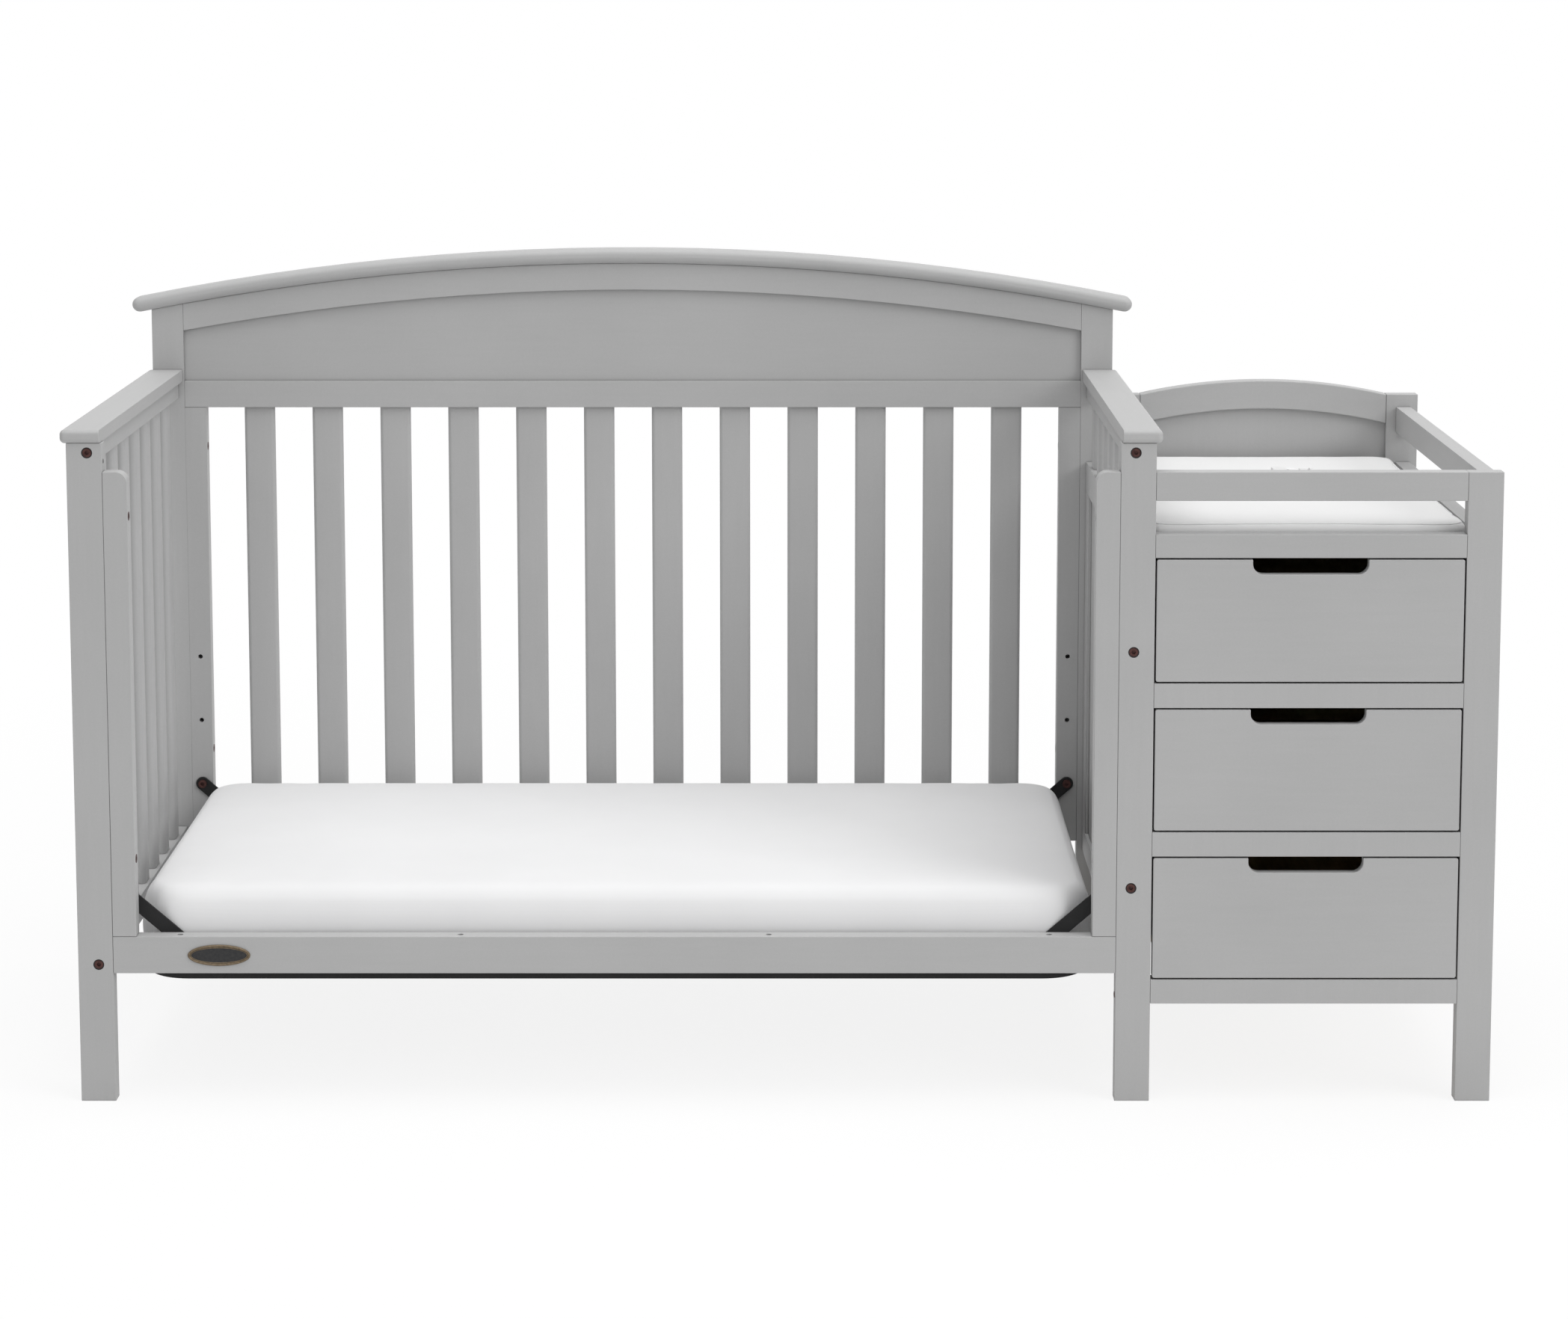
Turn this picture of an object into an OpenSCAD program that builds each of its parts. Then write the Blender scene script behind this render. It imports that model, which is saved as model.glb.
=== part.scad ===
// Convertible crib with an attached three-drawer changer, in its open-fronted daybed form.
// Millimetres. X runs from the crib's left end to the changer, Y from front to back, Z up.
// The origin is on the floor, under the middle of the whole object's box.

/* [Crib size] */
// Clear width between the crib's posts
crib_open_w = 1348; // [1150:1:1500]
// Clear depth between the front posts and the back posts
bay_d = 695; // [600:1:800]
// Width of each post, seen from the front
post_w = 47; // [40:1:60]
// Thickness of each post, front to back
post_t = 25; // [20:1:35]
// Height of the crib's front posts, up to the arm caps
arm_post_h = 896; // [820:1:960]
// Height of the whole crib at the middle of the arched headboard cap
headboard_h = 1096.5; // [1060:0.5:1200]

/* [Arm caps and headboard cap] */
// Thickness of an arm cap
arm_cap_t = 18; // [14:0.5:24]
// Edge radius along an arm cap's outer side and nose
arm_cap_r = 6.5; // [2:0.5:6.5]
// Width of an arm cap
arm_cap_w = 52.5; // [50:0.5:60]
// How far an arm cap stands out beyond the post, at the side
arm_cap_overhang = 8; // [2:0.5:15]
// How far an arm cap stands out in front of the post
arm_cap_nose = 4; // [1:0.5:10]
// Thickness of the headboard cap
head_cap_t = 22; // [16:0.5:28]
// Depth of the headboard cap, front to back
head_cap_d = 45; // [40:0.5:60]
// Height of the flat left in the middle of the headboard cap's round edges
cap_nose_flat = 2; // [1:0.5:6]
// How far the headboard cap runs past the posts at each end
head_cap_overhang = 28.5; // [10:0.5:45]
// Rise of the headboard cap from its ends to its middle
head_cap_rise = 73; // [50:1:90]

/* [Headboard] */
// Height of the arched apron under the headboard cap
apron_h = 40; // [25:1:60]
// Height of the solid headboard, from the middle of its cap down to the underside of its lower rail
head_solid_h = 239.5; // [210:0.5:280]
// Height of the headboard's lower rail, top to bottom
head_rail_h = 39.6; // [25:0.2:60]
// Thickness of the solid panel in the headboard
head_panel_t = 10; // [6:0.5:14]

/* [Slats and stile boards] */
// Thickness of every slat
slat_t = 12; // [9:0.5:16]
// Width of a back slat
back_slat_w = 46; // [36:0.5:56]
// Number of back slats
back_slats_n = 12; // [9:1:14]
// Width of a side slat
side_slat_w = 40; // [30:0.5:46]
// Number of slats in each side
side_slats_n = 7; // [5:1:8]
// Width of the vertical stile boards beside the posts
stile_w = 32; // [26:0.5:40]
// Height above the floor of the underside of the back stiles and the back's bottom rail
back_rail_z = 190; // [180:1:220]
// Height of the back's bottom rail, top to bottom
back_rail_h = 50; // [35:1:60]
// Length of the front stile boards, standing on the front rail
front_stile_h = 630; // [400:1:640]
// Radius of the front stile boards' inner top corner
front_stile_r = 15; // [5:0.5:24]

/* [Side and front rails] */
// Thickness of the crib's side rails
side_rail_t = 21; // [18:0.5:24]
// Distance from a post's outer face to the middle of the side rails
side_rail_in = 27.5; // [24:0.5:32]
// Height of the side top rails, under the arm caps
side_top_rail_h = 25.5; // [20:0.5:40]
// Height above the floor of the side bottom rails
side_bottom_rail_z = 176; // [150:0.5:200]
// Height of the side bottom rails, top to bottom
side_bottom_rail_h = 37; // [30:0.5:50]
// Height above the floor of the front rail
front_rail_z = 177; // [150:0.5:200]
// Height of the front rail, top to bottom
front_rail_h = 50.5; // [40:0.5:70]

/* [Crib end beside the changer] */
// Height of the rail between the short slats and the solid panel
mid_rail_h = 45; // [30:0.5:60]
// Width of the stiles at the two ends of the solid panel
panel_stile_w = 50; // [30:1:70]
// Thickness of the solid end panels
end_panel_t = 10; // [6:0.5:14]

/* [Changer] */
// Clear width between the changer's posts
changer_open_w = 413; // [380:1:500]
// Width of the changer's back post beside the crib
inner_post_w = 42; // [30:1:47]
// Height above the floor of the changer's lowest rail
changer_rail_z = 135; // [110:1:150]
// Height of the rails between the drawers
drawer_rail_h = 33.3; // [24:0.1:45]
// Height of the rail above the drawers
changer_apron_h = 31.5; // [25:0.5:45]
// Open gap under the changer's top rail
guard_gap = 45; // [35:0.5:55]
// Height of the changer's top rails
guard_rail_h = 38.5; // [30:0.5:50]
// Thickness of the changer's outer side rails
guard_rail_t = 22; // [18:0.5:25]
// Distance from the outer post face to the outer side rails
guard_rail_in = 10; // [6:0.5:14]
// How far the changer's back posts stand above its front posts
back_post_extra = 19; // [5:0.5:40]
// Rise of the changer's arched back rail
changer_arch_rise = 21; // [10:0.5:40]
// Height of the changer's arched back rail
changer_arch_h = 43; // [30:0.5:60]
// Thickness of the changer's back panel
back_panel_t = 6; // [4:0.5:10]
// Thickness of the changing shelf
shelf_t = 12; // [9:0.5:18]
// How deep the changing shelf lies under the top of the apron rail
shelf_drop = 13; // [5:0.5:18]

/* [Drawers] */
// Height of a drawer front
drawer_front_h = 165; // [140:1:175]
// Thickness of a drawer front
drawer_front_t = 16; // [12:0.5:20]
// Gap around a drawer front
drawer_gap = 2.1; // [1.5:0.1:4]
// Corner radius of a drawer front
drawer_front_r = 3; // [1:0.5:8]
// Width of the finger cut-out in the top edge of a drawer front
pull_w = 154; // [100:1:200]
// Depth of the finger cut-out
pull_h = 20; // [16:0.5:30]
// Radius of the lower corners of the finger cut-out
pull_r = 14; // [5:0.5:15]
// Thickness of the drawer sides and back
drawer_side_t = 12; // [9:0.5:15]
// Height of the drawer sides
drawer_side_h = 112; // [90:1:120]
// Height of the drawer sides above the bottom edge of the front
drawer_side_up = 14; // [8:0.5:20]
// Length of the drawer box behind the front
drawer_box_l = 600; // [560:1:640]
// Thickness of the drawer bottom
drawer_bottom_t = 5; // [3:0.5:8]
// Height of the groove for the drawer bottom above the lower edge of the sides
drawer_bottom_up = 9; // [6:0.5:20]

/* [Drawer slides] */
// Length of a drawer slide
slide_l = 500; // [400:5:540]
// Height of the outer slide channel
slide_h = 36; // [30:0.5:45]
// Space that a slide fills between the drawer and its bearer
slide_w = 13; // [11:0.5:16]
// Sheet thickness of the slides
slide_t = 1.2; // [1:0.1:1.6]
// Running clearance between the inner and the outer slide channel
slide_clear = 0.3; // [0.2:0.05:0.5]
// Height of the wooden bearers that carry the slides
bearer_h = 46; // [40:0.5:60]

/* [Mattress support] */
// Height above the floor of the underside of the steel support
support_z = 162; // [120:0.5:190]
// Height of the support's upright flange
support_flange_h = 10; // [8:0.5:14]
// Width of the support's level flange
support_flange_w = 22; // [15:0.5:35]
// Steel thickness of the support frame
support_t = 2.5; // [2:0.1:4]
// Corner radius of the support frame, seen from above
support_r = 60; // [20:1:80]
// Gap between the support frame and the stile boards, at each end
support_gap = 5; // [4:0.5:20]
// Width of a cross bar of the support
cross_bar_w = 25; // [15:0.5:40]
// Number of cross bars
cross_bars_n = 11; // [7:1:15]
// Width of a hanger strap
hanger_w = 20; // [16:0.5:26]
// Thickness of a hanger strap
hanger_t = 3; // [2:0.1:5]
// Slope of a hanger strap below the horizontal
hanger_slope = 41; // [35:0.5:55]
// Height above the floor of the lowest row of hanger holes
hanger_hole_z = 280; // [260:0.5:300]
// Distance between the hanger holes in a stile board
hanger_hole_pitch = 98; // [60:0.5:110]
// Number of hanger holes in a stile board
hanger_holes_n = 3; // [2:1:4]

/* [Bolts and holes] */
// Diameter of a bolt shank
bolt_d = 6; // [5:0.1:8]
// Extra diameter of a hole around its bolt
bolt_hole_play = 1; // [0.5:0.1:1.5]
// Diameter of a bolt head
bolt_head_d = 12.4; // [10:0.1:14]
// Thickness of a bolt head
bolt_head_t = 4; // [3:0.1:6]
// Diameter of the recess around a bolt head
bolt_recess_d = 14.7; // [14.2:0.1:18]
// Depth of the recess around a bolt head
bolt_recess_deep = 5; // [4:0.1:8]
// Length of a frame bolt under its head
bolt_l = 60; // [45:1:80]
// Height of the lower frame bolt above the underside of its rail
low_bolt_up = 13; // [10:0.5:20]
// Height of the lower end-panel bolt above the bottom rail
panel_bolt_up = 81; // [30:1:150]
// Depth of the upper end-panel bolt below the middle rail
panel_bolt_down = 113.5; // [30:0.5:200]
// Depth of a blind hanger hole
hanger_hole_deep = 20; // [12:0.5:22]
// Diameter of the guard rail holes in the top of the front rail
guard_hole_d = 8; // [6:0.5:10]
// Depth of the guard rail holes
guard_hole_deep = 30; // [15:1:38]
// Distance between the two inner guard rail holes
guard_inner_pitch = 415; // [300:1:500]
// Distance between the two outer guard rail holes
guard_outer_pitch = 1170; // [900:1:1200]

/* [Mattress and changing pad] */
// Thickness of the mattress at its edges
mattress_h = 112; // [90:1:150]
// Rise of the mattress's crown
mattress_crown = 7; // [2:0.5:15]
// Corner radius of the mattress, seen from above
mattress_r = 62; // [30:1:90]
// How far the mattress's sides draw in at their top and bottom
mattress_draw = 30; // [15:1:45]
// Gap between each end of the mattress and the inner faces of the posts
mattress_gap = 26; // [24:0.5:40]
// Thickness of the changing pad at its edges
pad_h = 22; // [15:0.5:40]
// Rise of the changing pad's crown
pad_crown = 4; // [1:0.5:8]
// Corner radius of the changing pad, seen from above
pad_r = 28; // [15:1:50]
// How far the pad's sides draw in at their top and bottom
pad_draw = 9; // [4:0.5:14]
// Gap between the changing pad and the sides of its tray
pad_gap = 7; // [3:0.5:20]
// Clearance under and around the soft pieces
soft_clear = 0.3; // [0.2:0.05:0.5]

/* [Joinery] */
// Depth of the grooves that hold the panels
groove_deep = 8; // [5:0.5:9]
// Room left for a panel's edge at the bottom of its groove
groove_room = 1; // [0.5:0.1:2]

/* [Hidden] */

$fn = 48;
// Facets of the large arcs
arch_fn = 720;
// A cut runs this far past the faces that it opens
cut = 1;

grey = [0.67, 0.67, 0.67];
black_steel = [0.07, 0.07, 0.07];
zinc = [0.72, 0.73, 0.75];
bronze = [0.22, 0.10, 0.08];
white_cloth = [0.95, 0.95, 0.94];
birch = [0.80, 0.76, 0.68];

// Whole object
crib_w = crib_open_w + 2 * post_w;
total_w = head_cap_overhang + crib_w + changer_open_w + post_w;
head_cap_out = (head_cap_d - post_t) / 2;
total_d = arm_cap_nose + 2 * post_t + bay_d + head_cap_out;

// Places along X
crib_x0 = head_cap_overhang - total_w / 2;
crib_x1 = crib_x0 + crib_w;
crib_mid_x = crib_x0 + crib_w / 2;
left_inner_x = crib_x0 + post_w;
right_inner_x = crib_x1 - post_w;
changer_x0 = crib_x1;
changer_x1 = changer_x0 + changer_open_w;
right_x = changer_x1 + post_w;
left_rail_x = crib_x0 + side_rail_in - side_rail_t / 2;
right_rail_x = crib_x1 - side_rail_in - side_rail_t / 2;
guard_x = right_x - guard_rail_in - guard_rail_t;
bay_mid_x = (changer_x0 + changer_x1) / 2;

// Places along Y
front_y = arm_cap_nose - total_d / 2;
bay_front_y = front_y + post_t;
back_y = bay_front_y + bay_d;
rear_y = back_y + post_t;
bay_mid_y = (bay_front_y + back_y) / 2;
post_mid_back_y = back_y + post_t / 2;

// Heights of the crib
side_top_rail_z = arm_post_h - side_top_rail_h;
side_bottom_rail_top = side_bottom_rail_z + side_bottom_rail_h;
front_rail_top = front_rail_z + front_rail_h;
head_rail_z = headboard_h - head_solid_h;
head_rail_top = head_rail_z + head_rail_h;
back_rail_top = back_rail_z + back_rail_h;

// Headboard arch: one centre under the crib's middle
head_cap_half = crib_w / 2 + head_cap_overhang - head_cap_t / 2;
arch_mid_r = (head_cap_half * head_cap_half + head_cap_rise * head_cap_rise) / (2 * head_cap_rise);
arch_z = headboard_h - head_cap_t / 2 - arch_mid_r;
cap_under_r = arch_mid_r - head_cap_t / 2;
apron_under_r = cap_under_r - apron_h;
cap_half_angle = asin(head_cap_half / arch_mid_r);
cap_edge_r = (head_cap_t - cap_nose_flat) / 2;
end_step = 0.1; // how much thinner the cap's round ends are, all round

// Heights of the changer
drawer_pitch = drawer_rail_h + drawer_front_h + 2 * drawer_gap;
changer_apron_z = changer_rail_z + 3 * drawer_pitch;
changer_apron_top = changer_apron_z + changer_apron_h;
guard_rail_z = changer_apron_top + guard_gap;
changer_h = guard_rail_z + guard_rail_h;
changer_back_h = changer_h + back_post_extra;
drawer_rail_top = changer_rail_z + drawer_rail_h;
mid_rail_z = changer_apron_top - mid_rail_h;
shelf_top = changer_apron_top - shelf_drop;
function drawer_z(level) = drawer_rail_top + drawer_gap + level * drawer_pitch;

// Changer arch
changer_arch_x0 = changer_x0 + inner_post_w;
changer_arch_half = (changer_x1 - changer_arch_x0) / 2;
changer_arch_r = (pow(changer_arch_half, 2) + pow(changer_arch_rise, 2)) / (2 * changer_arch_rise);
changer_arch_mid_x = (changer_arch_x0 + changer_x1) / 2;
changer_arch_z = changer_back_h + changer_arch_rise - changer_arch_r;

// Drawer boxes
drawer_box_w = changer_open_w - 2 * slide_w;
drawer_box_x0 = changer_x0 + slide_w;
drawer_box_x1 = drawer_box_x0 + drawer_box_w;
drawer_back_y = front_y + drawer_front_t + drawer_box_l;
function drawer_side_z(level) = drawer_z(level) + drawer_side_up;
function slide_z(level) = drawer_side_z(level) + drawer_side_h / 2;
outer_slide_y = front_y + post_t + 2;
inner_slide_y = front_y + drawer_front_t + 2;

// Mattress support
support_x0 = left_inner_x + stile_w + support_gap;
support_x1 = right_inner_x - stile_w - support_gap;
support_y0 = bay_front_y + hanger_t;
support_y1 = back_y - hanger_t;
left_hanger_x = left_inner_x + stile_w / 2;
hanger_foot_z = support_z + hanger_w / 2 + 2;
hanger_drop = hanger_hole_z - hanger_foot_z;
hanger_l = hanger_drop / sin(hanger_slope);
bars_top = support_z + 2 * support_t;
bolt_hole_d = bolt_d + bolt_hole_play;

// ---------- shared shapes ----------

// A square-edged board from its lowest to its highest corner
module slab(low, high) {
    translate(low) cube(high - low);
}

// A board cut from stock as thick as a post and flush with the front posts
module front_slab(x0, x1, z0, z1) {
    slab([x0, front_y, z0], [x1, bay_front_y, z1]);
}

// The same in the plane of the back posts
module back_slab(x0, x1, z0, z1) {
    slab([x0, back_y, z0], [x1, rear_y, z1]);
}

// A rail of a side frame, running from the front post to the back post
module side_rail(x0, thick, z0, z1) {
    slab([x0, bay_front_y, z0], [x0 + thick, back_y, z1]);
}

// Upright slat with round edges, its width along X, centred on the origin
module slat(width, height) {
    linear_extrude(height) {
        square([width - slat_t, slat_t], center = true);
        for (side = [-1, 1]) translate([side * (width - slat_t) / 2, 0]) circle(d = slat_t);
    }
}

// Hole along +Y from the given point
module y_hole(x, y, z, diameter, deep) {
    translate([x, y, z]) rotate([-90, 0, 0]) cylinder(d = diameter, h = deep);
}

// Drawing in the X-Z plane made solid along +Y
module upright_plate(y, thick) {
    translate([0, y + thick, 0]) rotate([90, 0, 0]) linear_extrude(thick) children();
}

// ---------- frame bolts ----------

left_bolt_x = crib_x0 + side_rail_in;
right_bolt_x = crib_x1 - side_rail_in;
top_bolt_z = arm_post_h - side_top_rail_h / 2;
low_bolt_z = side_bottom_rail_z + low_bolt_up;
lower_panel_bolt_z = side_bottom_rail_top + panel_bolt_up;
upper_panel_bolt_z = mid_rail_z - panel_bolt_down;
left_bolts_z = [low_bolt_z, top_bolt_z];
right_bolts_z = [lower_panel_bolt_z, upper_panel_bolt_z, top_bolt_z];
hanger_xs = [left_hanger_x, right_inner_x - stile_w / 2];

// Room for a bolt that enters a front post and ends in the piece behind it
module frame_bolt_room(x, z) {
    y_hole(x, front_y - cut, z, bolt_recess_d, bolt_recess_deep + cut);
    y_hole(x, front_y, z, bolt_hole_d, bolt_recess_deep + bolt_l + groove_room);
}

module left_bolt_room() {
    for (z = left_bolts_z) frame_bolt_room(left_bolt_x, z);
}

module right_bolt_room() {
    for (z = right_bolts_z) frame_bolt_room(right_bolt_x, z);
}

// Bolt along +Y whose head's seat is at the given point
module bolt(x, y, z, length, way = 1) {
    translate([x, y, z]) rotate([-90 * way, 0, 0]) {
        cylinder(d = bolt_d, h = length);
        difference() {
            translate([0, 0, -bolt_head_t]) cylinder(d = bolt_head_d, h = bolt_head_t);
            translate([0, 0, -bolt_head_t - cut])
                cylinder(d = bolt_head_d / 2, h = bolt_head_t / 2 + cut, $fn = 6);
        }
    }
}

module frame_bolts() color(bronze) {
    seat_y = front_y + bolt_recess_deep;
    for (z = left_bolts_z) bolt(left_bolt_x, seat_y, z, bolt_l);
    for (z = right_bolts_z) bolt(right_bolt_x, seat_y, z, bolt_l);
    for (x = hanger_xs) {
        bolt(x, back_y - hanger_t, hanger_hole_z, hanger_hole_deep);
        bolt(x, bay_front_y + hanger_t, hanger_hole_z, hanger_hole_deep, -1);
    }
}

// Blind hanger holes in a stile board, from the face at y towards +Y
module hanger_holes(y) {
    for (x = hanger_xs, row = [0 : hanger_holes_n - 1])
        y_hole(x, y, hanger_hole_z + row * hanger_hole_pitch, bolt_hole_d, hanger_hole_deep);
}

// ---------- room for the panels in their grooves ----------

// Each takes the room that a panel leaves free around its edge: none for the panel itself

module headboard_panel_shape(room = 0) {
    reach = groove_deep - groove_room + room;
    upright_plate(post_mid_back_y - head_panel_t / 2, head_panel_t) intersection() {
        translate([crib_mid_x, arch_z]) circle(r = apron_under_r + reach, $fn = arch_fn);
        translate([left_inner_x - reach, head_rail_top - reach])
            square([crib_open_w + 2 * reach, headboard_h - head_rail_top]);
    }
}

module right_side_panel_shape(room = 0) {
    reach = groove_deep - groove_room + room;
    x0 = crib_x1 - side_rail_in - end_panel_t / 2;
    slab([x0, bay_front_y + panel_stile_w - reach, side_bottom_rail_top - reach],
         [x0 + end_panel_t, back_y - panel_stile_w + reach, mid_rail_z + reach]);
}

module changer_side_panel_shape(room = 0) {
    reach = groove_deep - groove_room + room;
    x0 = guard_x + (guard_rail_t - end_panel_t) / 2;
    slab([x0, bay_front_y - reach, drawer_rail_top - reach],
         [x0 + end_panel_t, back_y + reach, changer_apron_z + reach]);
}

module changer_back_panel_shape(room = 0) {
    reach = groove_deep - groove_room + room;
    upright_plate(post_mid_back_y - back_panel_t / 2, back_panel_t) intersection() {
        translate([changer_arch_mid_x, changer_arch_z])
            circle(r = changer_arch_r - changer_arch_h + reach, $fn = arch_fn);
        translate([changer_arch_x0 - reach, drawer_rail_top - reach])
            square([2 * (changer_arch_half + reach), changer_back_h - drawer_rail_top]);
    }
}

// ---------- crib posts ----------

module front_left_post() color(grey) difference() {
    front_slab(crib_x0, left_inner_x, 0, arm_post_h);
    left_bolt_room();
}

module front_centre_post() color(grey) difference() {
    front_slab(right_inner_x, crib_x1, 0, arm_post_h);
    right_bolt_room();
}

// Everything under the headboard cap
module under_cap() {
    upright_plate(back_y, post_t)
        translate([crib_mid_x, arch_z]) circle(r = cap_under_r, $fn = arch_fn);
}

module crib_back_post(x0) {
    difference() {
        intersection() {
            back_slab(x0, x0 + post_w, 0, headboard_h);
            under_cap();
        }
        headboard_panel_shape(groove_room);
    }
}

module back_left_post() color(grey) crib_back_post(crib_x0);

module back_centre_post() color(grey) crib_back_post(right_inner_x);

// ---------- arm caps ----------

// Left arm cap: round edges along its outer side and its nose, square where it meets the headboard
module arm_cap() {
    r = arm_cap_r;
    flat = arm_cap_t / 2 - r;
    outer_x = crib_x0 - arm_cap_overhang;
    nose_y = front_y - arm_cap_nose;
    translate([outer_x + r, nose_y + r, arm_post_h + arm_cap_t / 2]) {
        l = back_y - nose_y - r;
        w = arm_cap_w - r;
        slab([0, 0, -flat - r], [w, l, flat + r]);
        slab([-r, 0, -flat], [w, l, flat]);
        slab([0, -r, -flat], [w, l, flat]);
        translate([0, 0, -flat]) cylinder(r = r, h = 2 * flat);
        for (z = [-flat, flat]) translate([0, 0, z]) {
            rotate([-90, 0, 0]) cylinder(r = r, h = l);
            rotate([0, 90, 0]) cylinder(r = r, h = w);
            rotate([90, 0, 45]) sphere(r = r);
        }
    }
}

module left_arm_cap() color(grey) arm_cap();

module right_arm_cap() color(grey)
    translate([2 * crib_mid_x, 0, 0]) mirror([1, 0, 0]) arm_cap();

// ---------- crib sides ----------

module left_side_top_rail() color(grey) difference() {
    side_rail(left_rail_x, side_rail_t, side_top_rail_z, arm_post_h);
    left_bolt_room();
}

module left_side_bottom_rail() color(grey) difference() {
    side_rail(left_rail_x, side_rail_t, side_bottom_rail_z, side_bottom_rail_top);
    left_bolt_room();
}

// Slats of one side, evenly spaced between the front and the back post
module side_slats(x, z0, z1) {
    gap = (bay_d - side_slats_n * side_slat_w) / (side_slats_n + 1);
    for (i = [0 : side_slats_n - 1])
        translate([x, bay_front_y + gap + side_slat_w / 2 + i * (side_slat_w + gap), z0])
            rotate([0, 0, 90]) slat(side_slat_w, z1 - z0);
}

module left_side_slats() color(grey)
    side_slats(left_bolt_x, side_bottom_rail_top, side_top_rail_z);

module right_side_top_rail() color(grey) difference() {
    side_rail(right_rail_x, side_rail_t, side_top_rail_z, arm_post_h);
    right_bolt_room();
}

module right_side_mid_rail() color(grey) difference() {
    side_rail(right_rail_x, side_rail_t, mid_rail_z, changer_apron_top);
    right_side_panel_shape(groove_room);
}

module right_side_bottom_rail() color(grey) difference() {
    side_rail(right_rail_x, side_rail_t, side_bottom_rail_z, side_bottom_rail_top);
    right_side_panel_shape(groove_room);
}

module right_side_slats() color(grey)
    side_slats(right_bolt_x, changer_apron_top, side_top_rail_z);

module right_side_panel_stiles() color(grey) difference() {
    for (y = [bay_front_y, back_y - panel_stile_w])
        slab([right_rail_x, y, side_bottom_rail_top],
             [right_rail_x + side_rail_t, y + panel_stile_w, mid_rail_z]);
    right_side_panel_shape(groove_room);
    right_bolt_room();
}

module right_side_panel() color(grey) right_side_panel_shape();

// ---------- crib front ----------

module guard_hole(x) {
    translate([x, front_y + post_t / 2, front_rail_top - guard_hole_deep])
        cylinder(d = guard_hole_d, h = guard_hole_deep + cut);
}

module front_rail() color(grey) difference() {
    front_slab(left_inner_x, right_inner_x, front_rail_z, front_rail_top);
    for (pitch = [guard_inner_pitch, guard_outer_pitch], side = [-1, 1])
        guard_hole(crib_mid_x + side * pitch / 2);
}

// Front stile board beside the left post, its inner top corner rounded
module front_stile() {
    top = front_rail_top + front_stile_h;
    edge_x = left_inner_x + stile_w;
    front_slab(left_inner_x, edge_x, front_rail_top, top - front_stile_r);
    front_slab(left_inner_x, edge_x - front_stile_r, top - front_stile_r, top);
    intersection() {
        y_hole(edge_x - front_stile_r, front_y, top - front_stile_r, 2 * front_stile_r, post_t);
        front_slab(edge_x - front_stile_r, edge_x, top - front_stile_r, top);
    }
}

module front_stiles() color(grey) difference() {
    union() {
        front_stile();
        translate([2 * crib_mid_x, 0, 0]) mirror([1, 0, 0]) front_stile();
    }
    translate([0, -hanger_hole_deep, 0]) hanger_holes(bay_front_y);
}

// ---------- crib back ----------

// Section of the headboard cap: flat above and below, round in front and behind
module cap_section() {
    translate([-head_cap_t / 2, -head_cap_d / 2])
        round_rectangle(head_cap_t, head_cap_d, cap_edge_r);
}

// Round end of the cap: a hair thinner than the cap, so that it meets the end plane cleanly
module cap_end() {
    rotate([0, 0, 90 - cap_half_angle]) translate([arch_mid_r, 0, 0])
        rotate_extrude() intersection() {
            translate([-head_cap_t / 2, end_step - head_cap_d / 2])
                round_rectangle(head_cap_t - end_step, head_cap_d - 2 * end_step, cap_edge_r);
            translate([0, -head_cap_d / 2]) square([head_cap_t, head_cap_d]);
        }
}

module headboard_cap() color(grey)
    translate([crib_mid_x, post_mid_back_y, arch_z]) rotate([90, 0, 0]) {
        rotate([0, 0, 90 - cap_half_angle])
            rotate_extrude(angle = 2 * cap_half_angle, $fn = arch_fn)
                translate([arch_mid_r, 0]) cap_section();
        cap_end();
        mirror([1, 0, 0]) cap_end();
    }

module headboard_apron() color(grey) difference() {
    intersection() {
        back_slab(left_inner_x, right_inner_x, head_rail_z, headboard_h);
        under_cap();
    }
    upright_plate(back_y - cut, post_t + 2 * cut)
        translate([crib_mid_x, arch_z]) circle(r = apron_under_r, $fn = arch_fn);
    headboard_panel_shape(groove_room);
}

module headboard_panel() color(grey) headboard_panel_shape();

module headboard_lower_rail() color(grey) difference() {
    back_slab(left_inner_x, right_inner_x, head_rail_z, head_rail_top);
    headboard_panel_shape(groove_room);
}

module back_slats() color(grey) {
    gap = (crib_open_w - 2 * stile_w - back_slats_n * back_slat_w) / (back_slats_n + 1);
    x0 = left_inner_x + stile_w + gap + back_slat_w / 2;
    for (i = [0 : back_slats_n - 1])
        translate([x0 + i * (back_slat_w + gap), post_mid_back_y, back_rail_top])
            slat(back_slat_w, head_rail_z - back_rail_top);
}

module back_bottom_rail() color(grey)
    back_slab(left_inner_x + stile_w, right_inner_x - stile_w, back_rail_z, back_rail_top);

module back_stiles() color(grey) difference() {
    for (x = [left_inner_x, right_inner_x - stile_w])
        back_slab(x, x + stile_w, back_rail_z, head_rail_z);
    hanger_holes(back_y);
}

// ---------- changer frame ----------

module front_right_post() color(grey) difference() {
    front_slab(changer_x1, right_x, 0, changer_h);
    changer_side_panel_shape(groove_room);
}

module changer_back_right_post() color(grey) difference() {
    back_slab(changer_x1, right_x, 0, changer_back_h);
    changer_side_panel_shape(groove_room);
    changer_back_panel_shape(groove_room);
}

module changer_back_left_post() color(grey) difference() {
    back_slab(changer_x0, changer_arch_x0, 0, changer_back_h);
    changer_back_panel_shape(groove_room);
}

module changer_top_rail() color(grey)
    front_slab(changer_x0, changer_x1, guard_rail_z, changer_h);

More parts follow.
